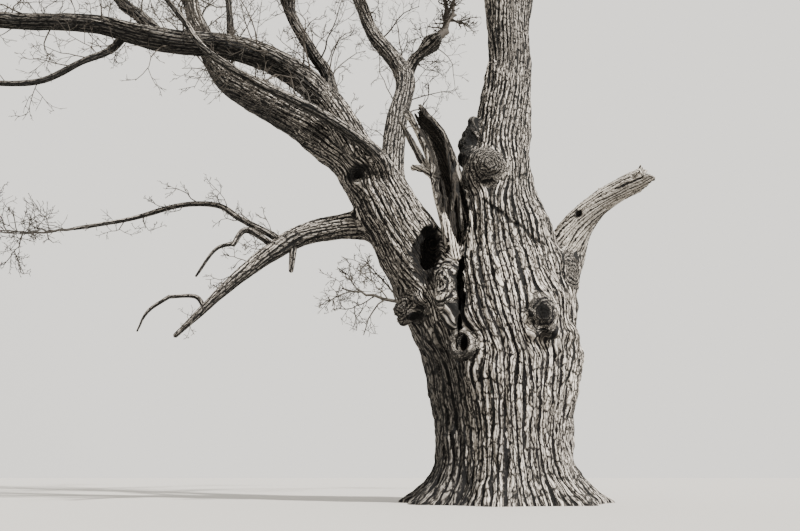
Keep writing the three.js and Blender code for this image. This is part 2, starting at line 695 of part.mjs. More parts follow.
const RIGHT_STEM_PARTS = ['right_stem', 'leader', 'crown_tip'];
CROWN_BOUGHS.forEach(({ name, on, index, angle, slopes, length, radii }, order) => {
  const route = bowedRoute(stationAt(axisOf(on), index).point, angle, slopes, length, BOW_SEED + order);
  const between = (share) => THREE.MathUtils.lerp(radii[0], radii[1], share);
  const axis = { route, radii: route.map((_, i) => between(i / BOW_STEPS) * (i === 0 ? COLLAR_SWELL : 1)) };
  const carriers = { right: RIGHT_STEM_PARTS, left: ['steep_left_bough'] };
  addLimb(name, axis, { sides: BRANCH_SIDES, cutBy: carriers[on] ?? [on] });
});

// Sprays of twigs

// Direction turned away from a stem's own by an angle, toward a compass turn round it
function turnedFrom(direction, spread, turn) {
  const reference = Math.abs(direction.z) > 0.9 ? new THREE.Vector3(1, 0, 0) : new THREE.Vector3(0, 0, 1);
  const across = direction.clone().cross(reference).normalize();
  const over = across.clone().cross(direction);
  return direction.clone().multiplyScalar(Math.cos(spread))
    .addScaledVector(across, Math.sin(spread) * Math.cos(turn))
    .addScaledVector(over, Math.sin(spread) * Math.sin(turn));
}

// Middle of the space that belongs to each spray
const sprayPlans = SPRAYS.map(({ name, limb, reach }) => {
  const { point, direction, radius } = limbs[limb].tip;
  const start = point.clone().addScaledVector(direction, GAP);
  return { name, start, direction, radius: radius * SPRAY_ENTRY, reach };
});
sprayPlans.push({
  name: BURR_SPROUTS.name,
  start: vector(BURR_SPROUTS.at),
  direction: vector(BURR_SPROUTS.toward).normalize(),
  radius: BURR_SPROUTS.radius,
  reach: BURR_SPROUTS.reach,
  onTrunk: true,
});
for (const plan of sprayPlans) {
  plan.middle = plan.start.clone().addScaledVector(plan.direction, plan.reach * MIDDLE_SHARE);
}

// A twig stays if both its ends are nearer its own spray's middle and it clears every limb
function keepsToItsSpace(plan, from, to, radius) {
  for (const end of [from, to]) {
    const own = end.distanceTo(plan.middle);
    for (const other of sprayPlans) {
      const apart = other === plan ? Infinity : other.middle.distanceTo(plan.middle);
      const lead = (end.distanceTo(other.middle) ** 2 - own ** 2) / (2 * apart);
      if (other !== plan && lead < radius + TWIG_CLEARANCE) {
        return false;
      }
    }
  }
  return limbSegments.every((limb) => (
    segmentDistance(from, to, limb.from, limb.to) > limb.radius + radius + TWIG_CLEARANCE));
}

// Direction that wanders off by up to an angle, with a light pull upward
function wandered(direction, angle, random) {
  const share = THREE.MathUtils.lerp(LEAST_WANDER, 1, random());
  const turned = turnedFrom(direction, angle * degrees * share, 2 * Math.PI * random());
  turned.z += UPWARD_PULL;
  return turned.normalize();
}

// Point at a share of a run of points with even steps
function pointOn(points, share) {
  const along = share * (points.length - 1);
  const step = Math.min(Math.floor(along), points.length - 2);
  return points[step].clone().lerp(points[step + 1], along - step);
}

// Twigs of one spray: a stem, bent side branches round it and twigs on those
function growSpray(plan, seed) {
  const random = seeded(seed);
  const stem = [plan.start];
  let direction = plan.direction.clone();
  for (let i = 0; i < STEM_STEPS; i += 1) {
    stem.push(stem[i].clone().addScaledVector(direction, (plan.reach * STEM_SHARE) / STEM_STEPS));
    direction = wandered(direction, STEM_WANDER, random);
  }
  const stemRadius = (share) => plan.radius * THREE.MathUtils.lerp(1, STEM_TAPER, share);
  const stemRadii = stem.map((_, i) => stemRadius(i / STEM_STEPS));
  const twigs = [{ points: stem, radii: stemRadii, sides: SPRAY_STEM_SIDES }];
  SIDE_STATIONS.forEach((station, order) => {
    const from = pointOn(stem, station);
    const step = Math.floor(station * STEM_STEPS);
    const axis = stem[step + 1].clone().sub(stem[step]).normalize();
    const spread = SIDE_SPREAD * degrees * THREE.MathUtils.lerp(...SPREADS, random());
    const turn = (GOLDEN_ANGLE * order + SIDE_SWING * random()) * degrees;
    const heading = turnedFrom(axis, spread, turn);
    const share = THREE.MathUtils.lerp(...SIDE_SHARES, station);
    const length = plan.reach * share * THREE.MathUtils.lerp(...SIDE_LENGTHS, random());
    const bend = from.clone().addScaledVector(heading, length / 2);
    const tip = bend.clone().addScaledVector(wandered(heading, SIDE_BEND, random), length / 2);
    const side = [from, bend, tip];
    const radius = Math.max(stemRadius(station) * SIDE_RADIUS, THINNEST * SIDE_THINNEST);
    const kept = keepsToItsSpace(plan, from, bend, radius) && keepsToItsSpace(plan, bend, tip, radius);
    if (kept) {
      const radii = [radius, radius * SIDE_TAPER, THINNEST * SIDE_TIP];
      twigs.push({ points: side, radii, sides: TWIG_SIDES });
    }
    const open = TWIG_SPREAD * degrees * THREE.MathUtils.lerp(...SPREADS, random());
    const swing = (GOLDEN_ANGLE * order + TWIG_SWING * random()) * degrees;
    const root = pointOn(side, TWIG_STATION);
    const twigLength = length * TWIG_SHARE * THREE.MathUtils.lerp(...TWIG_LENGTHS, random());
    const end = root.clone().addScaledVector(turnedFrom(heading, open, swing), twigLength);
    const thick = Math.max(radius * TWIG_RADIUS, THINNEST);
    if (kept && keepsToItsSpace(plan, root, end, thick)) {
      twigs.push({ points: [root, end], radii: [thick, THINNEST * TWIG_TIP], sides: TWIG_SIDES });
    }
  });
  return twigs;
}

sprayPlans.forEach((plan, order) => {
  const parts = growSpray(plan, SPRAY_SEED + order).map(
    ({ points, radii, sides }) => twigSolid(points, radii, sides));
  let solid = wasm.Manifold.union(parts);
  if (plan.onTrunk) {
    solid = solid.subtract(trunkWithCollars(CUT_MARGIN));
  }
  addNode(plan.name, mainBody(solid), TWIG_BARK);
});

export default group;
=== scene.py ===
# Old bare oak tree in winter: the finer form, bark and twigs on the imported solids.
# Metres, Z up, the front is -Y. The trunk's rings, the routes and radii of limbs, and the
# lengths of boughs and sprays are in millimetres.
import math

import bpy
import numpy as np
import openvdb as vdb
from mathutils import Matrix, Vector


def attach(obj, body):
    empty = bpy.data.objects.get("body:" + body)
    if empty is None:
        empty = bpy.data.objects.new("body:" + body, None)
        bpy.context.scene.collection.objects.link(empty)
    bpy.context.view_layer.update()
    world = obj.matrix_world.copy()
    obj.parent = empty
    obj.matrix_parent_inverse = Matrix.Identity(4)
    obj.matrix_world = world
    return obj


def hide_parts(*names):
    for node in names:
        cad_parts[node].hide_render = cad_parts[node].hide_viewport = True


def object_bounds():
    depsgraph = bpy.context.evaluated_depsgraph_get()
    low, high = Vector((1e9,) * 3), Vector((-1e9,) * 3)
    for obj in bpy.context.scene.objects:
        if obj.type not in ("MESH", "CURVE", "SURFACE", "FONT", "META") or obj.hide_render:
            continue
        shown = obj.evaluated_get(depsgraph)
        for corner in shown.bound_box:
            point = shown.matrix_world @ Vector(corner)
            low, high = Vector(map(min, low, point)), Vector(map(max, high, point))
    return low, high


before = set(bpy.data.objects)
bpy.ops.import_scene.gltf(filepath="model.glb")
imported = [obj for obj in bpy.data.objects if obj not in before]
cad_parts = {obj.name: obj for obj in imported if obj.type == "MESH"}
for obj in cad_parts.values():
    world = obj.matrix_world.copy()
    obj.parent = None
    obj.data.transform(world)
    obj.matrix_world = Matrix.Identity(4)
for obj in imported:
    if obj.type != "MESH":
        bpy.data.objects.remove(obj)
CAD_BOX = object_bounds()

MM = 0.001

# Camera: place, upward pitch in degrees, focal length and width of the film in millimetres
CAMERA_PLACE = (-1.34, -10.2, 0.35)
CAMERA_PITCH = 15
CAMERA_LENS = 35.0
FILM_WIDTH = 36

# Grid steps of the trunk with its fork, and of the bare dead wood
TRUNK_VOXEL = 0.0195
WOOD_VOXEL = 0.0172

# Rising heights with the trunk's half widths there: left, right, front and back
TRUNK_RINGS = [
    (0, 1290, 1260, 1230, 1220), (140, 1110, 1070, 1060, 1050), (300, 980, 910, 930, 930),
    (480, 905, 830, 870, 880), (760, 870, 815, 850, 860), (1050, 858, 837, 850, 860),
    (1300, 920, 915, 870, 880), (1550, 955, 950, 890, 900), (1800, 1000, 965, 900, 905),
    (2020, 1010, 950, 895, 900), (2230, 1035, 885, 885, 890), (2440, 1065, 890, 870, 870),
    (2650, 1050, 915, 840, 840), (2880, 960, 930, 780, 790), (3110, 780, 820, 690, 700),
    (3300, 480, 560, 460, 480), (3560, 60, 60, 60, 60),
]
BUTTRESS_ANGLES = [-152, -104, -48, 6, 62, 118, 172]
BUTTRESS_HEIGHT = 0.21
BUTTRESS_SPREAD = 13
BUTTRESS_FADE = 0.42
BUTTRESS_SINK = 0.35
FLUTES = 5
FLUTE_DEPTH = 0.026
# Swellings: angle and height of the middle, rise, half widths in degrees and metres
TRUNK_SWELLINGS = [
    (-4, 1.83, 0.095, 22, 0.29), (-166, 2.43, 0.25, 13, 0.15), (-150, 2.08, 0.07, 18, 0.22),
    (-68, 2.27, 0.12, 13, 0.19), (-34, 2.06, 0.07, 12, 0.15), (-116, 1.5, 0.055, 17, 0.26),
    (118, 2.15, 0.09, 18, 0.23), (55, 1.35, 0.07, 18, 0.28),
]

# Routes of the stems and boughs, and the radius at every point
AXES = {
    "left": (
        [(-420, 0, 2150), (-760, -40, 2640), (-1310, -120, 3490), (-1640, -160, 4080),
         (-2010, -180, 4600), (-2800, 200, 5330), (-3550, 600, 5940), (-4130, 1000, 6500),
         (-4700, 1400, 7550), (-4970, 1600, 8260), (-5500, 2000, 9900), (-6300, 2700, 11500)],
        [700, 570, 450, 395, 345, 280, 255, 215, 150, 130, 95, 52]),
    "right": (
        [(150, 20, 2500), (90, 10, 3300), (20, 0, 4020), (50, 60, 4740), (150, 120, 5280),
         (280, 200, 6160), (300, 300, 6800), (340, 400, 7460), (400, 470, 8200),
         (270, 560, 9400), (90, 750, 10800), (200, 950, 12400), (560, 1180, 14100),
         (420, 1300, 15500)],
        [850, 720, 520, 440, 385, 315, 305, 390, 345, 255, 200, 150, 100, 50]),
    "dead": (
        [(250, 0, 2500), (640, 0, 2820), (850, -30, 3170), (1030, -90, 3550),
         (1290, -200, 3840), (1610, -310, 4040), (1930, -400, 4180)],
        [420, 350, 290, 218, 160, 135, 138]),
    "long_left": (
        [(-1600, -230, 4050), (-1830, -420, 4450), (-2290, -600, 5170), (-2820, -800, 5580),
         (-3460, -1000, 5780), (-4460, -1200, 5800), (-5390, -1200, 6030),
         (-6570, -1200, 6090), (-7900, -1350, 6250), (-9200, -1600, 6700)],
        [240, 225, 200, 182, 165, 145, 115, 102, 78, 48]),
    "left_low": (
        [(-4950, -1180, 5850), (-5120, -1150, 5670), (-5420, -1250, 5450),
         (-5920, -1350, 5110), (-6700, -1500, 5040), (-7500, -1750, 5010)],
        [60, 46, 42, 38, 32, 25]),
    "left_rising": (
        [(-4430, -1190, 5800), (-4780, -1100, 6200), (-5110, -1000, 6520),
         (-5800, -850, 7500), (-6350, -950, 8500)],
        [100, 80, 72, 58, 42]),
    "left_front": (
        [(-2240, -590, 5120), (-2330, -640, 5590), (-2540, -700, 5910), (-2900, -820, 6610),
         (-3100, -1150, 7700), (-3450, -1600, 8900)],
        [120, 88, 80, 72, 60, 42]),
    "left_front_fork": (
        [(-2850, -800, 6500), (-2830, -830, 6800), (-2760, -880, 7400), (-2560, -1100, 8500)],
        [70, 52, 46, 34]),
    "left_upright": (
        [(-3570, -1020, 5800), (-3610, -1060, 6250), (-3690, -1200, 6900),
         (-3900, -1700, 7900)],
        [60, 43, 38, 28]),
    "diagonal": (
        [(-1520, -200, 4020), (-1570, -600, 4340), (-1830, -800, 4540), (-2370, -1020, 4840),
         (-2800, -1170, 5010), (-3210, -1320, 5150), (-3780, -1500, 5480),
         (-4070, -1560, 5870), (-4600, -1700, 6500)],
        [150, 98, 86, 72, 62, 52, 42, 36, 28]),
    "back": (
        [(-1280, 20, 3450), (-1420, 380, 4150), (-1460, 640, 4790), (-1390, 1000, 5710),
         (-1270, 1400, 6700), (-1800, 1700, 7660), (-2070, 2000, 8530), (-2500, 2800, 9900),
         (-3000, 3700, 11000)],
        [240, 200, 180, 160, 150, 118, 105, 80, 48]),
    "knobbed": (
        [(-1290, 1380, 6620), (-1130, 1530, 7020), (-980, 1650, 7260), (-810, 1780, 7520),
         (-690, 1870, 7700)],
        [130, 100, 90, 165, 95]),
    "low_left": (
        [(-1420, -60, 3650), (-2140, -100, 3600), (-2680, -200, 3440), (-3030, -300, 3190),
         (-3360, -400, 2890), (-3700, -500, 2520), (-4150, -600, 2010)],
        [270, 170, 140, 122, 100, 66, 30]),
    "low_left_branch": (
        [(-2860, -240, 3300), (-3080, -290, 3440), (-3480, -300, 3650), (-3800, -300, 3840),
         (-4300, -300, 3840), (-4950, -320, 3640), (-5650, -400, 3480)],
        [64, 46, 42, 38, 34, 28, 22]),
}
DEAD_TWIGS = [
    ([(-2960, -280, 3240), (-3360, -400, 3460), (-3520, -480, 3230)], [46, 40, 34]),
    ([(-3505, -470, 3260), (-3740, -500, 3160), (-3960, -520, 2800)], [34, 25, 16]),
    ([(-2760, -230, 3400), (-2770, -250, 3130), (-2780, -260, 2930)], [58, 44, 30]),
    ([(-3820, -530, 2390), (-3960, -500, 2540), (-4290, -520, 2530)], [36, 31, 26]),
    ([(-4270, -520, 2540), (-4530, -540, 2340), (-4640, -560, 2080)], [26, 19.5, 13]),
]

# Upper boughs: name, carrying axis and index, compass angle, slopes, length and radii
CROWN_BOUGHS = [
    ("right_bough", "right", 7.5, 8, (52, 22), 7400, (215, 55)),
    ("back_bough", "right", 8.6, 98, (54, 27), 7300, (180, 50)),
    ("front_bough", "right", 9.1, -66, (48, 16), 6600, (165, 50)),
    ("back_right_bough", "right", 9.5, 47, (50, 24), 6700, (150, 48)),
    ("left_crown_bough", "right", 9.9, 176, (50, 34), 5600, (135, 45)),
    ("front_right_bough", "right", 10.25, -22, (46, 22), 5900, (125, 45)),
    ("back_left_bough", "right", 10.5, 134, (50, 30), 5600, (115, 42)),
    ("front_left_bough", "right", 10.75, -128, (48, 26), 5500, (110, 42)),
    ("top_left_bough", "right", 11.2, 205, (60, 46), 3600, (90, 40)),
    ("right_bough_fork", "right_bough", 1.9, -38, (40, 14), 3900, (105, 42)),
    ("back_bough_fork", "back_bough", 1.9, 140, (46, 18), 3800, (95, 40)),
    ("front_bough_fork", "front_bough", 1.8, -112, (38, 16), 3600, (90, 40)),
    ("steep_left_fork", "left", 8.9, 128, (44, 26), 3700, (85, 40)),
]
BOW_STEPS = 5
BOW_WANDER = 44
COLLAR_SWELL = 1.35

MASK = 0xFFFFFFFF


def seeded(seed):
    """The same repeatable stream of numbers from 0 to 1 as the solids use."""
    state = seed & MASK

    def draw():
        nonlocal state
        state = (state + 0x6D2B79F5) & MASK
        mixed = ((state ^ (state >> 15)) * (state | 1)) & MASK
        mixed ^= (mixed + (((mixed ^ (mixed >> 7)) * (mixed | 61)) & MASK)) & MASK
        return ((mixed ^ (mixed >> 14)) & MASK) / (MASK + 1)

    return draw


def unit(v):
    return v / np.maximum(np.linalg.norm(v, axis=-1, keepdims=True), 1e-12)


def dot(a, b):
    return np.einsum("...i,...i->...", a, b)


def smooth(x):
    x = np.clip(x, 0, 1)
    return x * x * (3 - 2 * x)


def curve_at(route, index):
    """Points of the smooth curve through a route, at fractional indices."""
    padded = np.vstack([2 * route[0] - route[1], route, 2 * route[-1] - route[-2]])
    index = np.clip(np.atleast_1d(index), 0, len(route) - 1)
    low = np.minimum(index.astype(int), len(route) - 2)
    t = (index - low)[:, None]
    before, a, b, after = (padded[low + i] for i in range(4))
    out, back = 0.5 * (b - before), 0.5 * (after - a)
    return ((2 * t**3 - 3 * t**2 + 1) * a + (t**3 - 2 * t**2 + t) * out
            + (3 * t**2 - 2 * t**3) * b + (t**3 - t**2) * back)


def cone_distance(points, a, b, start, end):
    """Distance to the round surface between two places with radii, and the share of the way."""
    ab = b - a
    t = np.clip((points - a) @ ab / max(ab @ ab, 1e-9), 0, 1)
    return np.linalg.norm(points - a - t[:, None] * ab, axis=1) - (start + t * (end - start)), t


def misses(a, b, wide, low, high):
    """Whether a stretch of a limb lies wholly outside a box."""
    return np.any(np.minimum(a, b) - wide > high) or np.any(np.maximum(a, b) + wide < low)


class Line:
    """A limb's smooth middle line, with radii, an untwisting frame and bark coordinates."""

    SPAN = 8

    def __init__(self, route, radii):
        self.route = np.asarray(route, float) * MM
        self.last = len(route) - 1
        self.index = np.linspace(0, self.last, self.last * self.SPAN + 1)
        self.point = curve_at(self.route, self.index)
        self.radius = np.interp(self.index, np.arange(len(radii)), radii) * MM
        step = 1e-4 * self.last
        ahead = curve_at(self.route, self.index + step)
        behind = curve_at(self.route, self.index - step)
        self.along = unit(ahead - behind)
        normal = np.array([0, -1, 0.01])
        normals = []
        for direction in self.along:
            normal = normal - direction * (normal @ direction)
            normal = normal / np.linalg.norm(normal)
            normals.append(normal)
        self.normal = np.array(normals)
        self.across = np.cross(self.along, self.normal)
        strides = np.linalg.norm(np.diff(self.point, axis=0), axis=1)
        self.length = np.concatenate([[0], np.cumsum(strides)])
        # Radius of the slowly tapering column that the bark pattern is laid out on
        apart_by = np.abs(self.length[:, None] - self.length)
        self.column = (self.radius[None, :] + 0.05 * apart_by).min(axis=1)
        self.plate = np.clip(0.12 * self.column + 0.026, 0.03, 0.074)
        self.depth = np.clip(0.12 * self.radius, 0.004, 0.030)
        middle = (self.plate[1:] + self.plate[:-1]) / 2
        self.bark = np.concatenate([[0], np.cumsum(strides / middle)])

    def at(self, index, name):
        values = getattr(self, name)
        if values.ndim == 1:
            return np.interp(index, self.index, values)
        return np.stack([np.interp(index, self.index, values[:, i]) for i in range(3)], -1)

    def index_of(self, length):
        return np.interp(length, self.length, self.index)

    def nearest(self, points, first=0.0, last=None, within=None, tapers=True):
        """Distance to the round surface, and the index of the nearest point of the line.
        Stretches that lie outside the box within are passed over."""
        last = self.last if last is None else last
        stops = np.concatenate([[first], self.index[(self.index > first) & (self.index < last)], [last]])
        where = self.at(stops, "point")
        radius = self.at(stops, "radius") if tapers else np.full(len(stops), self.radius[-1])
        best = np.full(len(points), 1e9)
        index = np.zeros(len(points))
        for i in range(len(stops) - 1):
            a, b = where[i], where[i + 1]
            if within and misses(a, b, max(radius[i], radius[i + 1]), *within):
                continue
            gap, t = cone_distance(points, a, b, radius[i], radius[i + 1])
            closer = gap < best
            best[closer] = gap[closer]
            index[closer] = stops[i] + t[closer] * (stops[i + 1] - stops[i])
        return best, index

    def coordinates(self, points, index, turn=0.0):
        """Way round the pattern's column and along it in plates, then both in metres."""
        away = points - self.at(index, "point")
        angle = np.arctan2(dot(away, self.at(index, "across")), dot(away, self.at(index, "normal")))
        around = self.at(index, "column") * (angle + turn)
        return around / self.at(index, "plate"), self.at(index, "bark"), around, self.at(index, "length")


LINES = {name: Line(*axis) for name, axis in AXES.items()}


def bowed_route(start, angle, slopes, length, seed):
    """Route that leaves a point steeply and bows over, wandering a little."""
    random = seeded(seed)
    point = np.array(start)
    route = [point.copy()]
    for i in range(BOW_STEPS):
        slope = slopes[0] + (slopes[1] - slopes[0]) * i / (BOW_STEPS - 1)
        slope = math.radians(slope + BOW_WANDER * (random() - 0.5))
        heading = math.radians(angle + BOW_WANDER * (random() - 0.5))
        level = math.cos(slope)
        way = np.array([level * math.cos(heading), level * math.sin(heading), math.sin(slope)])
        point = point + way * length / BOW_STEPS
        route.append(point)
    return route


for order, (name, on, index, angle, slopes, length, radii) in enumerate(CROWN_BOUGHS):
    start = curve_at(LINES[on].route, index)[0] / MM
    shares = np.arange(BOW_STEPS + 1) / BOW_STEPS
    wide = radii[0] + (radii[1] - radii[0]) * shares
    wide[0] *= COLLAR_SWELL
    LINES[name] = Line(bowed_route(start, angle, slopes, length, 100 + order), wide)

# Noise and the height of the bark

PRIMES = (np.uint32(73856093), np.uint32(19349663), np.uint32(83492791))
# Bits of a cell's number that place its feature point along each axis
JITTER_BITS = 10


def scrambled(h):
    """Spreads the bits of 32-bit numbers evenly."""
    h ^= h >> np.uint32(15)
    h *= np.uint32(0x2C1B3C6D)
    h ^= h >> np.uint32(12)
    h *= np.uint32(0x297A2D39)
    h ^= h >> np.uint32(15)
    return h


def lattice(points, shifts, salt):
    """Part of each point inside its grid cell, and factors of the cells' numbers by axis and shift."""
    base = np.floor(points)
    part = (points - base).astype(np.float32)
    cell = base.astype(np.int64)
    keys = [[(cell[:, axis] + shift).astype(np.uint32) * PRIMES[axis] for shift in shifts]
            for axis in range(points.shape[1])]
    keys[0] = [key ^ np.uint32(salt * 2654435 + 97) for key in keys[0]]
    return part, keys


def noise(points, salt=0):
    """Smooth noise from -1 to 1 with features about one unit wide."""
    part, keys = lattice(points, (0, 1), salt)
    part = part * part * (3 - 2 * part)
    weights = [(1 - part[:, axis], part[:, axis]) for axis in range(3)]
    total = np.zeros(len(points), np.float32)
    for i, j, k in np.ndindex(2, 2, 2):
        h = scrambled(keys[0][i] ^ keys[1][j] ^ keys[2][k])
        value = h.astype(np.float32) * np.float32(2 / (MASK + 1)) - 1
        total += value * weights[0][i] * weights[1][j] * weights[2][k]
    return total


def cells(points, salt=0):
    """Distances to the nearest and second nearest feature point, and a number of the nearest,
    for points on a plane or in space."""
    shifts = (-1, 0, 1)
    part, keys = lattice(points, shifts, salt)
    first = np.full(len(points), 9.0, np.float32)
    second = first.copy()
    mark = np.zeros(len(points), np.uint32)
    most = 2**JITTER_BITS - 1
    for picks in np.ndindex(*[3] * points.shape[1]):
        h = keys[0][picks[0]].copy()
        for axis, pick in enumerate(picks[1:], 1):
            h ^= keys[axis][pick]
        h = scrambled(h)
        gap = np.zeros(len(points), np.float32)
        for axis, pick in enumerate(picks):
            jitter = ((h >> np.uint32(JITTER_BITS * axis)) & np.uint32(most)).astype(np.float32) / most
            gap += (jitter + shifts[pick] - part[:, axis]) ** 2
        nearer = gap < first
        second = np.where(nearer, first, np.minimum(second, gap))
        mark = np.where(nearer, h, mark)
        first = np.where(nearer, gap, first)
    return np.sqrt(first), np.sqrt(second), ((mark >> np.uint32(7)) % 997 / 997).astype(np.float32)


# How far the bark's pattern is drawn out along the limb
BARK_STRETCH = 14


def bark_height(around, along, salt=0, stretch=BARK_STRETCH):
    """Ridged bark: 0 in the furrows that wander along the limb, 1 on the highest ridges."""
    level = 0 * along
    slow = noise(np.stack([around * 0.35, along * 1.2 / stretch, level], -1), 1 + salt)
    quick = noise(np.stack([around * 1.1, along * 4 / stretch, level], -1), 2 + salt)
    width = noise(np.stack([around * 0.7, along * 2 / stretch, level], -1), 3 + salt)
    across = around + 0.75 * slow + 0.22 * quick
    ridge = smooth(2 * np.abs(across - np.round(across)) / (0.5 + 0.25 * width))
    first, second, mark = cells(np.stack([across * 0.9, along * 5 / stretch], -1), 23 + salt)
    flake = smooth((second - first) / 0.3)
    return ridge * (0.82 + 0.18 * mark) * (0.82 + 0.18 * flake)


def knobs(points, size, salt=0):
    """Rough burr wood: small round bumps, 0 between them and 1 on their tops."""
    q = points / size
    q = q + 0.35 * np.stack([noise(q, 7 + salt), noise(q, 8 + salt), noise(q, 9 + salt)], -1)
    first, second, mark = cells(q, 31 + salt)
    return 0.25 + 0.6 * smooth((second - first) / 0.45) * (0.6 + 0.4 * mark)


# Trunk and fork

PROFILE_Z = np.arange(-0.2, 3.7, 0.01)
PROFILE = []
for column in range(1, 5):
    rings = np.array(TRUNK_RINGS, float) * MM
    widths = np.interp(PROFILE_Z, rings[:, 0], rings[:, column])
    soft = np.hanning(15)
    padded = np.pad(widths, 7, mode="edge")
    PROFILE.append(np.convolve(padded, soft / soft.sum(), mode="valid"))
PROFILE_SLOPE = np.abs(np.gradient(np.mean(PROFILE, axis=0), PROFILE_Z))


def apart(angle, degrees_at):
    turn = np.abs(np.degrees(angle) - degrees_at) % 360
    return np.minimum(turn, 360 - turn)


def trunk_radius(angle, z):
    left, right, front, back = (np.interp(z, PROFILE_Z, side) for side in PROFILE)
    across = np.where(np.cos(angle) > 0, right, left)
    along = np.where(np.sin(angle) > 0, back, front)
    radius = 1 / np.hypot(np.cos(angle) / across, np.sin(angle) / along)
    fade = np.exp(-np.maximum(z, 0) / BUTTRESS_FADE)
    swell = sum(np.exp(-((apart(angle, middle) / BUTTRESS_SPREAD) ** 2)) for middle in BUTTRESS_ANGLES)
    radius = radius + BUTTRESS_HEIGHT * (swell - BUTTRESS_SINK) * fade
    radius = radius + FLUTE_DEPTH * np.cos(FLUTES * angle + z / 0.9)
    for middle, height, rise, spread, tall in TRUNK_SWELLINGS:
        far = (apart(angle, middle) / spread) ** 2 + ((z - height) / tall) ** 2
        radius = radius + rise * np.exp(-far)
    return radius


def trunk_distance(p):
    angle = np.arctan2(p[:, 1], p[:, 0])
    slope = np.interp(p[:, 2], PROFILE_Z, PROFILE_SLOPE)
    gap = np.hypot(p[:, 0], p[:, 1]) - trunk_radius(angle, p[:, 2])
    return gap / np.sqrt(1 + slope**2)


def blend(a, b, k):
    """Union of two distances with a soft joint."""
    h = np.maximum(k - np.abs(a - b), 0) / k
    return np.minimum(a, b) - h**3 * k / 6


def carve(a, b, k):
    return -blend(-a, b, k)


# Stretches of limbs that melt into the trunk: line, first and last index, softness
MELTED = [
    ("right", 0, 4.75, 0.2), ("left", 0, 4.9, 0.2), ("dead", 0, 2.05, 0.16),
    ("back", 0, 2.4, 0.16), ("long_left", 0, 2.5, 0.12), ("low_left", 0, 2.2, 0.14),
    ("diagonal", 0, 1.5, 0.08),
]
# Burls and lumps: middle, radius and softness
BURLS = [
    ((-0.15, -0.33, 4.33), 0.32, 0.14), ((-1.86, -0.38, 4.16), 0.19, 0.12),
    ((0.37, -0.84, 2.24), 0.2, 0.16), ((0.5, -0.86, 2.02), 0.1, 0.1), ((0.3, -0.9, 2.0), 0.08, 0.08),
    ((0.66, -0.42, 2.95), 0.2, 0.2), ((0.84, -0.2, 3.02), 0.2, 0.18), ((0.84, -0.26, 2.76), 0.17, 0.16),
    ((-1.22, -0.33, 2.56), 0.13, 0.1), ((-1.3, -0.3, 2.42), 0.13, 0.08),
    ((-1.2, -0.42, 2.34), 0.12, 0.08), ((-1.08, -0.5, 2.5), 0.1, 0.08), ((-1.3, -0.34, 2.26), 0.08, 0.06),
    ((-0.3, -0.14, 5.12), 0.09, 0.12), ((-0.35, -0.15, 4.95), 0.12, 0.14),
    ((-0.4, -0.18, 4.76), 0.13, 0.14), ((-0.4, -0.24, 4.56), 0.14, 0.14),
    ((-0.17, -0.46, 4.64), 0.05, 0.03),
    ((-2.62, -0.02, 5.0), 0.16, 0.14), ((-2.25, -0.3, 4.62), 0.14, 0.14),
    ((-1.42, -0.42, 3.62), 0.14, 0.16),
]
# Rounded growth beside the long crack: points with radii
CALLUS = [((-0.7, -0.6, 2.9), 0.11), ((-0.74, -0.66, 2.7), 0.16), ((-0.74, -0.72, 2.46), 0.14),
          ((-0.68, -0.8, 2.16), 0.09)]
# Hollows: chains of points with radii that are cut away
CAVITY = [((-0.95, -0.46, 3.36), 0.14), ((-1.0, -0.54, 3.1), 0.19), ((-1.03, -0.62, 2.84), 0.15),
          ((-1.06, -0.7, 2.62), 0.07)]
CAVITY_DEPTH = [((-0.93, -0.3, 3.3), 0.11), ((-0.95, -0.36, 3.0), 0.12)]
STEM_HOLLOW = [((-0.62, -0.5, 4.3), 0.13), ((-0.52, -0.5, 3.9), 0.15), ((-0.48, -0.56, 3.5), 0.13),
               ((-0.52, -0.66, 3.1), 0.08)]
SMALL_HOLLOWS = [((-1.9, -0.58, 4.17), 0.06), ((-1.16, -0.52, 2.24), 0.07), ((-0.34, -0.33, 4.84), 0.1),
                 ((0.42, -1.3, 2.25), 0.3)]
# Dark places on the bark, most of them painted shade in and beside hollows, in crotches and
# under the knot; the one whose share is above 1 is a pale stub: points with radii, and the share
# of the tone that is left
DARK_PLACES = [
    ([((-2.8, -0.25, 5.08), 0.06), ((-2.5, -0.3, 4.9), 0.12), ((-2.2, -0.35, 4.66), 0.07)], 0.22),
    ([((0.12, -0.02, 6.68), 0.05), ((0.12, 0, 6.96), 0.07)], 0.1),
    ([((-0.46, -0.32, 4.5), 0.1), ((-0.46, -0.3, 4.75), 0.14), ((-0.36, -0.25, 5.12), 0.1)], 0.12),
    ([((-0.17, -0.5, 4.64), 0.05)], 2.4),
    ([((0.36, -0.95, 2.32), 0.1), ((0.46, -0.95, 2.2), 0.1)], 0.3),
    ([((-1.12, -0.45, 2.26), 0.09)], 0.15),
    ([((-2.1, -0.5, 4.14), 0.07), ((-1.85, -0.5, 4.24), 0.13), ((-1.66, -0.5, 4.18), 0.07),
      ((-1.5, -0.5, 4.16), 0.03)], 0.07),
    ([((-0.56, -0.95, 1.7), 0.05), ((-0.42, -0.95, 1.72), 0.05)], 0.25),
    ([((0.05, -0.9, 0.72), 0.04), ((0.35, -0.9, 0.7), 0.05), ((0.6, -0.75, 0.74), 0.03)], 0.3),
    ([((-0.5, -0.9, 1.2), 0.08), ((-0.2, -0.95, 1.1), 0.07), ((0.05, -0.95, 1.0), 0.04)], 0.4),
]
# Broad places on the front of the trunk where the bark is painted paler as painted light, their size, and how
# much paler they are
PAINTED_LIGHT_GAIN = 0.42
PAINTED_LIGHT_PLACES = [((0.05, -0.78, 2.75), 0.55), ((0.65, -0.65, 1.5), 0.5)]
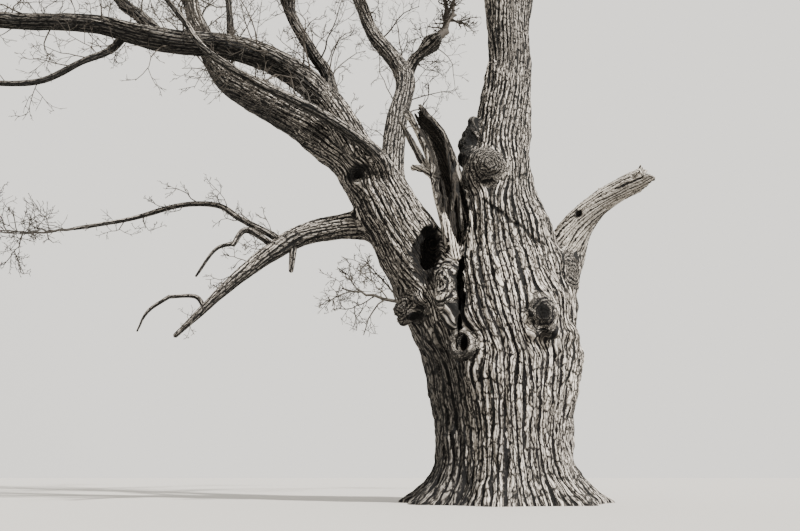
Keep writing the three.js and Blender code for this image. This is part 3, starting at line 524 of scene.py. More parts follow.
# Crease in the surface, as seen from the front: points across and up, and half width
CREASE = [(-0.24, 3.86), (-0.12, 3.7), (0.02, 3.6), (0.08, 3.5), (0.24, 3.42), (0.36, 3.28), (0.52, 3.2)]
CREASE_HALF = 0.018
KNOT_PLACE = np.array([-0.56, -0.8, 1.87])
KNOT_RING, KNOT_LIP, KNOT_HOLE, KNOT_DEPTH = 0.125, 0.04, 0.1, 0.24
CRACK_PLACE = np.array([-0.585, -0.7, 2.53])
# Half of its width, depth and height
CRACK_HALF = (0.038, 0.3, 0.54)
CRACK_FACING = (-0.2, -1, 0)
# Slab of old wood that stands inside the crack
CRACK_PLANK = [((-0.56, -0.6, 2.7), 0.016), ((-0.565, -0.7, 2.3), 0.026), ((-0.57, -0.76, 2.04), 0.03)]


def chain_distance(p, chain):
    """Distance to a chain of places with radii. What lies far from all points is passed over."""
    best = np.full(len(p), 1e9)
    low, high = p.min(axis=0) - 0.3, p.max(axis=0) + 0.3
    for (a, ra), (b, rb) in zip(chain[:-1], chain[1:]):
        a, b = np.array(a), np.array(b)
        if not misses(a, b, max(ra, rb), low, high):
            best = np.minimum(best, cone_distance(p, a, b, ra, rb)[0])
    return best


def facing_frame(place):
    """Outward level direction at a place on the trunk, and the level direction across it."""
    outward = unit(np.array([place[0], place[1], 0.0]))
    return outward, np.array([-outward[1], outward[0], 0.0])


def knot_distances(p):
    outward, across = facing_frame(KNOT_PLACE)
    away = p - (KNOT_PLACE + 0.05 * outward)
    x, y, depth = away @ across, away[:, 2], away @ outward
    ring = np.hypot(x, y * 0.92) * (1 + 0.1 * noise(p / 0.09, 78))
    lip = np.hypot(ring - KNOT_RING, depth) - KNOT_LIP
    hole = np.maximum(ring - KNOT_HOLE, -depth - KNOT_DEPTH)
    return lip, hole


def crack_distance(p):
    outward, across = facing_frame(CRACK_FACING)
    away = p - CRACK_PLACE
    share = np.clip(np.abs(away[:, 2]) / CRACK_HALF[2], 0, 1)
    sway = 0.014 * np.sin(away[:, 2] * 9) + 0.008 * np.sin(away[:, 2] * 31)
    side = np.abs(away @ across + sway) - CRACK_HALF[0] * (1.1 - share**4)
    deep = np.abs(away @ outward) - CRACK_HALF[1]
    tall = np.abs(away[:, 2]) - CRACK_HALF[2]
    return np.maximum(side, np.maximum(deep, tall))


def solid_distance(p):
    """Distance to the trunk and the fork before anything is cut away."""
    best = trunk_distance(p)
    low, high = p.min(axis=0) - 0.5, p.max(axis=0) + 0.5
    for name, first, last, softness in MELTED:
        line = LINES[name]
        gap, _ = line.nearest(p, first, last, (low, high))
        best = blend(best, gap, softness)
    for place, radius, softness in BURLS:
        place = np.array(place)
        if np.all(place - radius < high) and np.all(place + radius > low):
            best = blend(best, np.linalg.norm(p - place, axis=1) - radius, softness)
    best = blend(best, chain_distance(p, CALLUS), 0.07)
    return best


def front_depth(points_xz, distance):
    """Depths at which lines of sight from the front meet the surface."""
    points = []
    for x, z in points_xz:
        line = np.stack([np.full(300, x), np.linspace(-2, 1, 300), np.full(300, z)], -1)
        inside = np.flatnonzero(distance(line) < 0)
        depth = line[inside[0], 1] if len(inside) else -0.6
        points.append((x, depth, z))
    return points


CREASE_CHAIN = [((x, y - 0.005, z), CREASE_HALF) for x, y, z in front_depth(CREASE, solid_distance)]


def cut_distance(p):
    """Distance to the hollows, holes and cracks."""
    _, hole = knot_distances(p)
    best = np.minimum(hole, crack_distance(p))
    for chain in (CAVITY, CAVITY_DEPTH, STEM_HOLLOW, CREASE_CHAIN):
        best = np.minimum(best, chain_distance(p, chain))
    for place, radius in SMALL_HOLLOWS:
        best = np.minimum(best, np.linalg.norm(p - np.array(place), axis=1) - radius)
    return best


def tree_distance(p):
    best = solid_distance(p)
    lip, _ = knot_distances(p)
    best = blend(best, lip, 0.05)
    best = carve(best, cut_distance(p), 0.03)
    best = np.minimum(best, chain_distance(p, CRACK_PLANK))
    return np.maximum(best, -p[:, 2])


def darkened(p):
    """Share of the bark's tone that the dark places, most of them painted shade, and the places of painted
    light leave.
    """
    left = np.ones(len(p))
    for chain, share in DARK_PLACES:
        places = np.array([place for place, _ in chain])
        near = np.all((p > places.min(axis=0) - 0.4) & (p < places.max(axis=0) + 0.4), axis=1)
        if near.any():
            chain = chain * 2 if len(chain) == 1 else chain
            gap = chain_distance(p[near], chain) + 0.05 * noise(p[near] / 0.07, 79)
            left[near] *= 1 - (1 - share) * smooth(0.5 - gap / 0.07)
    for place, size in PAINTED_LIGHT_PLACES:
        left *= 1 + PAINTED_LIGHT_GAIN * np.exp(-((p - place) ** 2).sum(axis=1) / size**2)
    return left


# Grid cells along a block, blocks along a group that is measured at once, and the cells on
# either side of the surface whose distances are kept
BLOCK, GROUP, BAND = 8, 4, 4.0
# Half a cube's diagonal over its side, and how much further than that a block is looked for
HALF_DIAGONAL, MARGIN, SLACK = 0.87, 1.25, 0.05


def surface_of(distance, low, high, voxel):
    """Vertices and quads of the surface where a distance is zero."""
    low, high = np.array(low), np.array(high)
    blocks = np.ceil((high - low) / (voxel * BLOCK)).astype(int)
    corner = np.stack(np.meshgrid(*(np.arange(n) for n in blocks), indexing="ij"), -1).reshape(-1, 3)
    middles = low + (corner + 0.5) * voxel * BLOCK
    rough = np.concatenate([distance(part) for part in np.array_split(middles, 24)])
    near = np.abs(rough) < voxel * BLOCK * HALF_DIAGONAL * MARGIN + SLACK
    grid = np.where(rough < 0, -BAND, BAND).astype(np.float32)
    grid = np.broadcast_to(grid.reshape(*blocks, 1, 1, 1), (*blocks, BLOCK, BLOCK, BLOCK)).copy()
    inner = np.stack(np.meshgrid(*[np.arange(BLOCK)] * 3, indexing="ij"), -1).reshape(-1, 3)
    active = corner[near]
    group = (active // GROUP) @ np.array([1000000, 1000, 1])
    active = active[np.argsort(group, kind="stable")]
    _, firsts = np.unique(np.sort(group), return_index=True)
    for some in np.split(active, firsts[1:]):
        places = low + (some[:, None] * BLOCK + inner[None]) * voxel
        values = distance(places.reshape(-1, 3)) / voxel
        values = np.clip(values, -BAND, BAND).astype(np.float32).reshape(-1, BLOCK, BLOCK, BLOCK)
        grid[some[:, 0], some[:, 1], some[:, 2]] = values
    dense = grid.transpose(0, 3, 1, 4, 2, 5).reshape(*(blocks * BLOCK))
    volume = vdb.FloatGrid(BAND)
    volume.copyFromArray(np.ascontiguousarray(dense))
    points, quads = volume.convertToQuads(0.0)
    return low + points.astype(float) * voxel, quads.astype(np.int64)


def vertex_normals(points, quads):
    a, b, c, d = (points[quads[:, i]] for i in range(4))
    flat = np.cross(c - a, d - b)
    total = np.zeros_like(points)
    for axis in range(3):
        for i in range(4):
            total[:, axis] += np.bincount(quads[:, i], flat[:, axis], len(points))
    return unit(total)


def lumps(points, radius):
    """Slow unevenness of the wood under the bark, deeper on thick limbs."""
    size = np.clip(radius, 0.04, 0.6)
    slow = noise(points / 0.42, 41) * 0.05 + noise(points / 0.19, 42) * 0.03
    quick = noise(points / 0.085, 43) * 0.02
    return size**0.8 * (slow + quick)


# The trunk's bark runs on up the right stem without a break: the middle line of both
SPINE = Line([(0, 0, -300), (0, 0, 600), (10, 0, 1500), (60, 5, 2400)] + AXES["right"][0][1:],
             [900, 900, 900, 900] + AXES["right"][1][1:])
# Heights between which the ridges lean, and how fast they turn round the trunk
LEAN_HEIGHTS = (1.75, 3.3)
LEAN_RATE = 0.34


def leaned(z):
    return LEAN_RATE * (np.clip(z, *LEAN_HEIGHTS) - LEAN_HEIGHTS[0])


# Width and depth of the trunk's ridges, width of the rings on burls, width and depth of knobs
TRUNK_PLATE = 0.07
TRUNK_DEPTH = 0.034
SWIRL_PLATE = 0.055
KNOB_SIZE = 0.06
KNOB_DEPTH = 0.04
# Height in the bark's pattern that lies on the surface of the limb
BARK_LEVEL = 0.7
# Share by which a burl parts the ridges, and how many of its radii round it are looked at
PARTING, PARTING_REACH = 0.62, 3.2
# Distance by which the trunk's bark goes before a limb's, the width over which two limbs' bark
# blends, and the least share in that which counts
TRUNK_LEAD, SEAM, FAINTEST = 0.01, 0.016, 0.04
# Steps from one limb to the next: the salt of its noise, and the shift of its grain in metres
SALT_STEP, GRAIN_STEP = 50, 7
# Period, in metres, of a grain that never comes round to its start
NO_PERIOD = 100.0
# Burls that the ridges part round: middle, outward direction, radius, height over width,
# and whether their own wood is knobbed or ringed
SWIRLS = [
    ((-0.15, -0.5, 4.3), (0, -1, 0.1), 0.25, 1.0, True),
    ((-1.88, -0.45, 4.17), (-0.2, -1, 0), 0.11, 1.0, False),
    ((0.4, -0.92, 2.22), (0.35, -1, 0), 0.2, 1.1, True),
    ((-1.22, -0.38, 2.42), (-1, -0.45, 0), 0.2, 1.0, True),
    ((-0.56, -0.8, 1.87), (-0.56, -0.8, 0), 0.17, 1.0, False),
    ((-0.75, -0.72, 2.62), (-0.6, -0.8, 0), 0.15, 1.7, False),
    ((0.84, -0.36, 2.9), (0.8, -0.6, 0), 0.2, 1.1, True),
    ((-0.42, -0.3, 4.8), (-0.6, -0.8, 0), 0.13, 2.2, True),
]


def swirl_places(p, place, outward, tall):
    """Offsets across and up from a burl's middle as seen along its outward direction."""
    side = unit(np.cross(outward, (0, 0, 1)))
    away = p - place
    return away @ side, away @ np.cross(side, outward) / tall, away @ outward


def parted(p, line, turned, x, y):
    """Pattern places moved so that the ridges part round the burls, as water does round a stone."""
    for place, outward, reach, tall, _ in SWIRLS:
        place, outward = np.array(place), unit(np.array(outward, float))
        near = np.linalg.norm(p - place, axis=1) < PARTING_REACH * reach * tall
        if not near.any():
            continue
        _, index = line.nearest(place[None], tapers=False)
        middle = line.coordinates(place[None], index, turned(place[None, 2]))
        across, up, _ = swirl_places(p[near], place, outward, tall)
        ring = np.hypot(across, up)
        share = PARTING * np.minimum(reach / np.maximum(ring, 0.01), 1) ** 2
        share = share * smooth((3 - ring / reach) / 2)
        x[near] -= (x[near] - middle[2]) * share
        y[near] += (y[near] - middle[3]) * share
    return x, y


def bark_on_trunk(p):
    """Bark height, label, radius, depth, grain and roughness on the surface of the trunk and fork."""
    count = len(p)
    labels = ["trunk"] + [name for name, *_ in MELTED]
    gaps = [trunk_distance(p) - TRUNK_LEAD]
    indices = [np.zeros(count)]
    for name, first, last, _ in MELTED:
        gap, index = LINES[name].nearest(p, first, last)
        if name not in ("left", "right"):
            # A side limb's own bark begins a little way out from its root
            gap = gap + 0.1 * (1 - smooth((index - 0.5) / (last * 0.6)))
        gaps.append(gap)
        indices.append(index)
    gaps = np.array(gaps)
    nearest = gaps.argmin(axis=0)
    weight = np.exp(-(gaps - gaps.min(axis=0)) / SEAM)
    weight[weight < FAINTEST] = 0
    weight /= weight.sum(axis=0)
    height = np.zeros(count)
    radius = np.zeros(count)
    depth = np.zeros(count)
    grain = np.zeros((count, 3))
    period = np.full((count, 2), NO_PERIOD)
    for row, name in enumerate(labels):
        on = weight[row] > 0
        if not on.any():
            continue
        q = p[on]
        whole = name in ("trunk", "right")
        line = SPINE if whole else LINES[name]
        _, index = line.nearest(q, tapers=False)
        turned = leaned if whole else (lambda z: 0.0 * z)
        _, _, x, y = line.coordinates(q, index, turned(q[:, 2]))
        x, y = parted(q, line, turned, x, y)
        plate = TRUNK_PLATE if whole else np.mean(line.plate[:20])
        bark = bark_height(x / plate, y / plate, salt=0 if whole else row * SALT_STEP)
        wide = np.full(len(q), 0.9) if row == 0 else LINES[name].at(indices[row][on], "radius")
        deep = np.full(len(q), TRUNK_DEPTH) if whole else line.at(index, "depth")
        height[on] += weight[row][on] * bark
        radius[on] += weight[row][on] * wide
        depth[on] += weight[row][on] * deep
        mine = nearest[on] == row
        own = np.flatnonzero(on)[mine]
        grain[own, 0], grain[own, 1] = x[mine], y[mine] + (0 if whole else GRAIN_STEP * row)
        period[own, 0] = 2 * math.pi * line.at(index[mine], "column")
    rough = np.zeros(count)
    for salt, (place, outward, reach, tall, knobbed) in enumerate(SWIRLS):
        place, outward = np.array(place), unit(np.array(outward, float))
        across, up, out = swirl_places(p, place, outward, tall)
        ring, turn = np.hypot(across, up), np.arctan2(across, -up)
        share = smooth((1.15 + 0.4 * noise(p / 0.11, 90 + salt) - ring / reach) / 0.25)
        share = share * (np.abs(out) < 0.5)
        on = share > 0
        if not on.any():
            continue
        if knobbed:
            bark = knobs(p[on], KNOB_SIZE, salt)
            rough[on] = np.maximum(rough[on], share[on])
        else:
            bark = bark_height(ring[on] / SWIRL_PLATE, turn[on] * reach / SWIRL_PLATE, 300 + salt, 5)
        inside = share > 0.5
        grain[inside, 0] = ring[inside] + 3 * salt
        repeats = 5 if knobbed else 2
        grain[inside, 1] = turn[inside] * reach * repeats
        period[inside] = NO_PERIOD, 2 * math.pi * reach * repeats
        height[on] = height[on] * (1 - share[on]) + bark * share[on]
    lip, _ = knot_distances(p)
    bare = smooth(1 - lip / 0.02)
    height = height * (1 - bare) + bare * (1.12 + 0.1 * noise(p / 0.03, 77))
    depth = depth * (1 - rough) + KNOB_DEPTH * rough
    for row in (labels.index("left"), labels.index("right"), labels.index("dead")):
        nearest[(nearest == row) & (indices[row] < 2)] = 0
    return height, np.array(labels)[nearest], radius, depth, np.hstack([grain[:, :2], period]), rough


class Shape:
    """Parts of one piece: vertices, faces, and the values that its material reads."""

    def __init__(self):
        self.points, self.quads, self.tris, self.normals = [], [], [], []
        self.values = {"furrow": [], "tone": [], "rot_and_shade": [], "grain": []}
        self.count = 0

    def add(self, points, quads, tris, furrow, tone, rot_and_shade, grain, normals=None):
        self.points.append(points)
        self.quads.append(np.asarray(quads).reshape(-1, 4) + self.count)
        self.tris.append(np.asarray(tris, int).reshape(-1, 3) + self.count)
        for name, value in (("furrow", furrow), ("tone", tone), ("rot_and_shade", rot_and_shade)):
            self.values[name].append(np.broadcast_to(value, len(points)))
        self.values["grain"].append(grain)
        if normals is None:
            normals = vertex_normals(points, np.asarray(quads).reshape(-1, 4))
        self.normals.append(normals)
        self.count += len(points)


def make_mesh(name, points, quads, tris, normals=None):
    mesh = bpy.data.meshes.new(name)
    mesh.vertices.add(len(points))
    mesh.vertices.foreach_set("co", np.ascontiguousarray(points, np.float32).ravel())
    corners = np.concatenate([quads.ravel(), tris.ravel()]).astype(np.int32)
    starts = np.concatenate([np.arange(len(quads)) * 4, quads.size + np.arange(len(tris)) * 3])
    mesh.loops.add(len(corners))
    mesh.loops.foreach_set("vertex_index", corners)
    mesh.polygons.add(len(starts))
    mesh.polygons.foreach_set("loop_start", starts.astype(np.int32))
    mesh.update(calc_edges=True)
    mesh.polygons.foreach_set("use_smooth", np.ones(len(starts), bool))
    if normals is not None:
        mesh.normals_split_custom_set_from_vertices(normals)
    return mesh


def unrolled(grain):
    """Grain at the corners of faces, without the jump where it comes round to its start."""
    place, period = grain[..., :2], grain[..., 2:]
    place = place + period * (place < place.max(axis=1, keepdims=True) - period / 2)
    return np.insert(place, 2, 0, axis=-1).reshape(-1, 3)


def placed(name, data):
    """A new object in the scene."""
    thing = bpy.data.objects.new(name, data)
    bpy.context.collection.objects.link(thing)
    return thing


def make_piece(name, shape, material, nodes):
    """A piece of bark or wood in place of the named nodes."""
    points = np.concatenate(shape.points)
    mesh = make_mesh(name, points, np.concatenate(shape.quads), np.concatenate(shape.tris),
                     np.concatenate(shape.normals))
    for key in ("furrow", "tone", "rot_and_shade"):
        attribute = mesh.attributes.new(key, "FLOAT", "POINT")
        attribute.data.foreach_set("value", np.concatenate(shape.values[key]).astype(np.float32))
    attribute = mesh.attributes.new("grain", "FLOAT_VECTOR", "CORNER")
    grain = np.concatenate(shape.values["grain"])
    corners = [unrolled(grain[np.concatenate(faces)]) for faces in (shape.quads, shape.tris)]
    attribute.data.foreach_set("vector", np.concatenate(corners).astype(np.float32).ravel())
    mesh.materials.append(material)
    piece = placed(name, mesh)
    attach(piece, "root")
    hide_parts(*nodes)
    print(name, "triangles", len(np.concatenate(shape.tris)) + 2 * len(np.concatenate(shape.quads)))


# How far a limb's first two rings are drawn in where it melts into the trunk
MELT_SINK = (0.03, 0.006)
# Painted light and shade on limbs: tone of a limb's upper side, and how much of it the underside loses
LIMB_LIGHT, LIMB_SHADE = 1.3, 1.06


def tube(shape, line, first, last, spacing, girth, salt, tone, melts=False):
    """Bark-covered limb between two indices of its line."""
    start, end = line.at(first, "length"), line.at(last, "length")
    count = max(3, int((end - start) / spacing))
    lengths = np.linspace(start, end, count + 1)
    index = line.index_of(lengths)
    radius = line.at(index, "radius")
    sides = max(7, int(round(2 * math.pi * np.mean(radius) / girth)))
    turns = np.arange(sides) / sides * 2 * math.pi
    normal, across = line.at(index, "normal"), line.at(index, "across")
    out = np.cos(turns)[None, :, None] * normal[:, None] + np.sin(turns)[None, :, None] * across[:, None]
    middle = line.at(index, "point")
    base = (middle[:, None] + out * radius[:, None, None]).reshape(-1, 3)
    rows = np.repeat(index, sides)
    u, w, x, y = line.coordinates(base, rows)
    height = bark_height(u, w, salt=salt)
    round_trip = 2 * math.pi * line.at(rows, "column")
    grain = np.stack([x, y + GRAIN_STEP * (salt // SALT_STEP), round_trip, np.full(len(rows), NO_PERIOD)], -1)
    push = lumps(base, line.at(rows, "radius")) + line.at(rows, "depth") * (height - BARK_LEVEL)
    if melts:
        push[:sides] -= MELT_SINK[0]
        push[sides:2 * sides] -= MELT_SINK[1]
    points = base + out.reshape(-1, 3) * push[:, None]
    # Painted light on a limb's upper side and painted shade on its underside
    below = smooth(0.5 - 0.9 * out.reshape(-1, 3)[:, 2])
    tone = np.append(tone * (LIMB_LIGHT - LIMB_SHADE * below) * darkened(base), tone)
    a = np.arange(count * sides)
    b = a - a % sides + (a + 1) % sides
    quads = np.stack([a, b, b + sides, a + sides], -1)
    last_ring = count * sides + np.arange(sides)
    top = middle[-1] + line.at(index[-1:], "along")[0] * radius[-1] * 0.7
    points = np.vstack([points, top])
    tip = np.full(sides, len(points) - 1)
    tris = np.stack([last_ring, count * sides + (np.arange(sides) + 1) % sides, tip], -1)
    furrow = np.append(1 - height, 0.4)
    grain = np.vstack([grain, grain[-1]])
    shape.add(points, quads, tris, furrow, tone, 0.0, grain)


# Materials


def new_material(name):
    material = bpy.data.materials.new(name)
    material.use_nodes = True
    tree = material.node_tree
    return material, tree, tree.nodes["Principled BSDF"]


def feed(tree, socket, value):
    """Links another node's output to a socket, or sets the socket to a constant."""
    if isinstance(value, bpy.types.NodeSocket):
        tree.links.new(value, socket)
    else:
        socket.default_value = value


def add_node(tree, kind, settings=None, **inputs):
    node = tree.nodes.new(kind)
    for key, value in (settings or {}).items():
        setattr(node, key, value)
    for key, value in inputs.items():
        feed(tree, node.inputs[key.replace("_", " ")], value)
    return node


def ramp(tree, source, stops):
    """Colour that follows a value. A stop's colour is a triple, or one number for a grey."""
    node = add_node(tree, "ShaderNodeValToRGB", Fac=source)
    elements = node.color_ramp.elements
    while len(elements) < len(stops):
        elements.new(0.5)
    for element, (place, colour) in zip(elements, stops):
        element.position = place
        element.color = (*(colour if isinstance(colour, tuple) else (colour,) * 3), 1)
    return node.outputs["Color"]


def multiplied(tree, factor, a, b):
    node = add_node(tree, "ShaderNodeMix", {"data_type": "RGBA", "blend_type": "MULTIPLY"})
    for place, value in ((0, factor), (6, a), (7, b)):
        feed(tree, node.inputs[place], (*value, 1) if isinstance(value, tuple) else value)
    return node.outputs[2]


def computed(tree, kind, operation, values):
    node = add_node(tree, kind, {"operation": operation})
    for socket, value in zip(node.inputs, values):
        feed(tree, socket, value)
    return node


def sums(tree, operation, *values):
    return computed(tree, "ShaderNodeMath", operation, values).outputs[0]


def vectors(tree, operation, *values):
    node = computed(tree, "ShaderNodeVectorMath", operation, values)
    return node.outputs["Value" if operation == "DOT_PRODUCT" else "Vector"]


def stretched_noise(tree, grain, lengthwise, scale, detail, roughness=0.5):
    """Noise that is drawn out along the limb."""
    place = vectors(tree, "MULTIPLY", grain, (1, lengthwise, 1))
    return add_node(tree, "ShaderNodeTexNoise", Vector=place, Scale=scale, Detail=detail,
                    Roughness=roughness).outputs["Fac"]


# Noise on the bark: squeeze along the limb, scale, detail and roughness
FINE_NOISE = (0.35, 70.0, 5.0, 0.75)
PATCH_NOISE = (0.3, 6.0, 5.0, 0.6)
# Scales, times the width of a ridge, of the noise that bends furrows, frays them and widens them
SLOW_SCALE, QUICK_SCALE, SWELL_SCALE = 0.4, 1.6, 0.8
# Creases beside the furrows: number to each furrow, and how far they stray from them
CREASE_RATE, CREASE_STRAY = 2.3, 3.0
# Cracks across: squeeze along the limb, scale, and scale and size of the noise that bends them
CROSS_SQUEEZE, CROSS_SCALE, BEND_SCALE, BEND = 0.28, 20.0, 14.0, 0.05
# Share of the fine noise in the relief, strength of the relief, and shine
FINE_RELIEF, BUMP_STRENGTH, SHINE = 0.35, 0.9, 0.25
# Near black toward which rotten wood, and the painted shade in hollows, cracks and creases, is mixed
ROT_AND_SHADE_COLOUR = (0.05, 0.045, 0.04)


def bark_material(name, stops, ridge, stretch, wander, jag, narrow, spread, step, gain, relief):
    """Bark or weathered wood: long furrows that wander between ridges of a given width, with
    creases and short cracks across, within the broader furrows that the mesh carries.

    The stops go from the ridges' tops to the depth of the furrows. Wander and jag are how far the
    furrows bend slowly and quickly, in ridges. Narrow and spread are their least width and how much
    it varies. Step is the level that cracks across leave, and gain the share of the fine noise."""
    material, tree, shader = new_material(name)
    furrow, tone, rot_and_shade, grain = (
        add_node(tree, "ShaderNodeAttribute", {"attribute_name": name}).outputs[output]
        for name, output in (("furrow", "Fac"), ("tone", "Fac"), ("rot_and_shade", "Fac"), ("grain", "Vector")))
    slow = stretched_noise(tree, grain, 1 / stretch, SLOW_SCALE / ridge, 1.0)
    quick = stretched_noise(tree, grain, 0.25, QUICK_SCALE / ridge, 3.0, 0.6)
    swell = stretched_noise(tree, grain, 0.16, SWELL_SCALE / ridge, 2.0)
    fine = stretched_noise(tree, grain, *FINE_NOISE)
    patches = stretched_noise(tree, grain, *PATCH_NOISE)
    parts = add_node(tree, "ShaderNodeSeparateXYZ")
    tree.links.new(grain, parts.inputs[0])
    phase = sums(tree, "MULTIPLY", parts.outputs[0], 1 / ridge)
    phase = sums(tree, "MULTIPLY_ADD", slow, 2 * wander, phase)
    phase = sums(tree, "MULTIPLY_ADD", quick, 2 * jag, phase)
    width = sums(tree, "MULTIPLY_ADD", swell, 2.5 * spread, narrow - 0.75 * spread)
    width = sums(tree, "MAXIMUM", width, narrow)
    cracks = sums(tree, "DIVIDE", sums(tree, "PINGPONG", phase, 0.5), width)
    creases = sums(tree, "MULTIPLY_ADD", phase, CREASE_RATE, sums(tree, "MULTIPLY", swell, CREASE_STRAY))
    creases = ramp(tree, sums(tree, "PINGPONG", creases, 0.5), [(0.03, 0.35), (0.25, 1)])
    lined = sums(tree, "MULTIPLY", ramp(tree, cracks, [(0.3, 0), (1.0, 1)]), creases)
    short = vectors(tree, "MULTIPLY", grain, (1, CROSS_SQUEEZE, 1))
    bend = add_node(tree, "ShaderNodeTexNoise", Vector=short, Scale=BEND_SCALE, Detail=3.0)
    short = vectors(tree, "MULTIPLY_ADD", bend.outputs["Color"], (BEND, BEND, 0), short)
    steps = add_node(tree, "ShaderNodeTexVoronoi",
                     {"feature": "DISTANCE_TO_EDGE", "voronoi_dimensions": "2D"},
                     Vector=short, Scale=CROSS_SCALE, Randomness=1.0).outputs["Distance"]
    lined = sums(tree, "MULTIPLY", lined, ramp(tree, steps, [(0.01, step), (0.12, 1)]))
    lined = sums(tree, "MAXIMUM", lined, sums(tree, "MULTIPLY", furrow, -3.5))
    # The colour darkens to near black deep in the mesh's furrows and the fine cracks: the bark's own darker
    # colour there, and painted shade
    height = sums(tree, "MULTIPLY", lined, sums(tree, "MULTIPLY_ADD", furrow, -0.3, 1.0))
    level = sums(tree, "SUBTRACT", sums(tree, "MULTIPLY_ADD", fine, gain, 1.02 - 0.5 * gain), height)
    colour = ramp(tree, level, stops)
    colour = multiplied(tree, 1.0, colour, ramp(tree, patches, [(0.35, 0.6), (0.65, 1.0)]))
    colour = multiplied(tree, 1.0, colour, tone)
    # Rotten wood and painted shade in hollows, cracks and creases go toward near black
    colour = multiplied(tree, rot_and_shade, colour, ROT_AND_SHADE_COLOUR)
    tree.links.new(colour, shader.inputs["Base Color"])
    tree.links.new(ramp(tree, fine, [(0.3, 0.8), (0.7, 0.97)]), shader.inputs["Roughness"])
    shader.inputs["Specular IOR Level"].default_value = SHINE
    raised = sums(tree, "MULTIPLY_ADD", fine, FINE_RELIEF, height)
    bump = add_node(tree, "ShaderNodeBump", Height=raised, Strength=BUMP_STRENGTH, Distance=relief)
    tree.links.new(bump.outputs["Normal"], shader.inputs["Normal"])
    return material


BARK = bark_material(
    "oak_bark",
    [(0.0, (0.7, 0.645, 0.58)), (0.26, (0.34, 0.31, 0.275)), (0.5, (0.09, 0.081, 0.072)),
     (0.7, (0.016, 0.0145, 0.013)), (0.9, (0.002, 0.002, 0.002))],
    ridge=0.05, stretch=8.0, wander=1.1, jag=0.33, narrow=0.14, spread=0.17, step=0.42, gain=2.4,
    relief=0.025)
DEAD_WOOD = bark_material(
    "weathered_wood",
    [(0.06, (0.86, 0.8, 0.71)), (0.4, (0.58, 0.53, 0.465)), (0.65, (0.2, 0.18, 0.157)),
     (0.85, (0.04, 0.036, 0.032)), (1.0, (0.006, 0.005, 0.005))],
    ridge=0.04, stretch=9.0, wander=1.2, jag=0.3, narrow=0.08, spread=0.3, step=0.8, gain=1.6,
    relief=0.01)

# The trunk with its fork, in pieces that share their borders

# Height of the border between the foot and the top
TRUNK_SPLIT = 1.5
# Where the painted shade on the left side ends: height, and distance left of the middle
PAINTED_SHADE_TOP, PAINTED_SHADE_EDGE = 2.4, 0.35
# Shares of the tone lost to painted shade on the left side and on undersides, and on knobbed burls
PAINTED_SIDE_SHADE, UNDER_SHADE, KNOB_SHADE = 0.72, 0.55, 0.3

points, quads = surface_of(tree_distance, (-3.3, -1.75, -0.05), (1.9, 1.75, 6.1), TRUNK_VOXEL)
normals = vertex_normals(points, quads)
height, label, radius, depth, grain, rough = bark_on_trunk(points)
# Surfaces in the hollows, holes, cracks and crease are darkened: partly rotten wood, partly painted shade
rot_and_shade = smooth((0.014 - cut_distance(points)) / 0.014)
push = lumps(points, radius) + depth * (np.minimum(height, 1) - BARK_LEVEL) * (1 - 0.5 * rot_and_shade)
on_ground = points[:, 2] < 0.02
moved = points + normals * push[:, None]
moved[:, 2] = np.where(on_ground, 0, np.maximum(moved[:, 2], 0))
slant, normals = normals, vertex_normals(moved, quads)
# Painted shade: the side away from the sun is darker, and so are undersides
painted_shade_side = smooth((0.1 - slant[:, 0]) / 0.6) * smooth((PAINTED_SHADE_TOP - points[:, 2]) / 0.5)
painted_shade_side = painted_shade_side * smooth((-PAINTED_SHADE_EDGE - points[:, 0]) / 0.3)
tone = (1 - KNOB_SHADE * rough) * (1 - PAINTED_SIDE_SHADE * painted_shade_side) * darkened(points)
tone = tone * (1 - UNDER_SHADE * smooth(-slant[:, 2] * 1.3))

SHAPES = {name: Shape() for name in (
    "trunk_foot", "trunk_top", "right_stem", "left_stem", "long_left", "low_left", "back", "crown")}
HOME = {"trunk": "trunk_top", "dead": "trunk_top", "right": "right_stem", "left": "left_stem",
        "long_left": "long_left", "low_left": "low_left", "back": "back", "diagonal": "long_left"}
home = np.array([HOME[name] for name in label])
home[(home == "trunk_top") & (points[:, 2] < TRUNK_SPLIT)] = "trunk_foot"
face_home = home[quads[:, 0]]
face_home[on_ground[quads].all(axis=1)] = "ground"
for name in sorted(set(home)):
    mine = quads[face_home == name]
    used, back = np.unique(mine, return_inverse=True)
    SHAPES[name].add(moved[used], back.reshape(-1, 4), np.zeros((0, 3), int), 1 - height[used],
                     tone[used], rot_and_shade[used], grain[used], normals[used])


def close_foot(shape, faces, places):
    """Closes the flat cut on the ground with triangles to its middle."""
    edges = np.concatenate([faces[:, [i, (i + 1) % 4]] for i in range(4)])
    key = np.sort(edges, axis=1) @ np.array([len(places), 1])
    _, first, uses = np.unique(key, return_index=True, return_counts=True)
    rim = edges[first[uses == 1]]
    used, back = np.unique(rim, return_inverse=True)
    rim = back.reshape(-1, 2)
    ring = np.vstack([places[used] * (1, 1, 0), np.zeros(3)])
    tris = np.column_stack([rim, np.full(len(rim), len(used))])
    down = np.tile([0.0, 0.0, -1.0], (len(ring), 1))
    grain = np.hstack([ring[:, :2], np.full((len(ring), 2), NO_PERIOD)])
    shape.add(ring, np.zeros((0, 4), int), tris, 0.5, 1.0, 0.0, grain, down)


close_foot(SHAPES["trunk_foot"], quads[face_home == "ground"], moved)
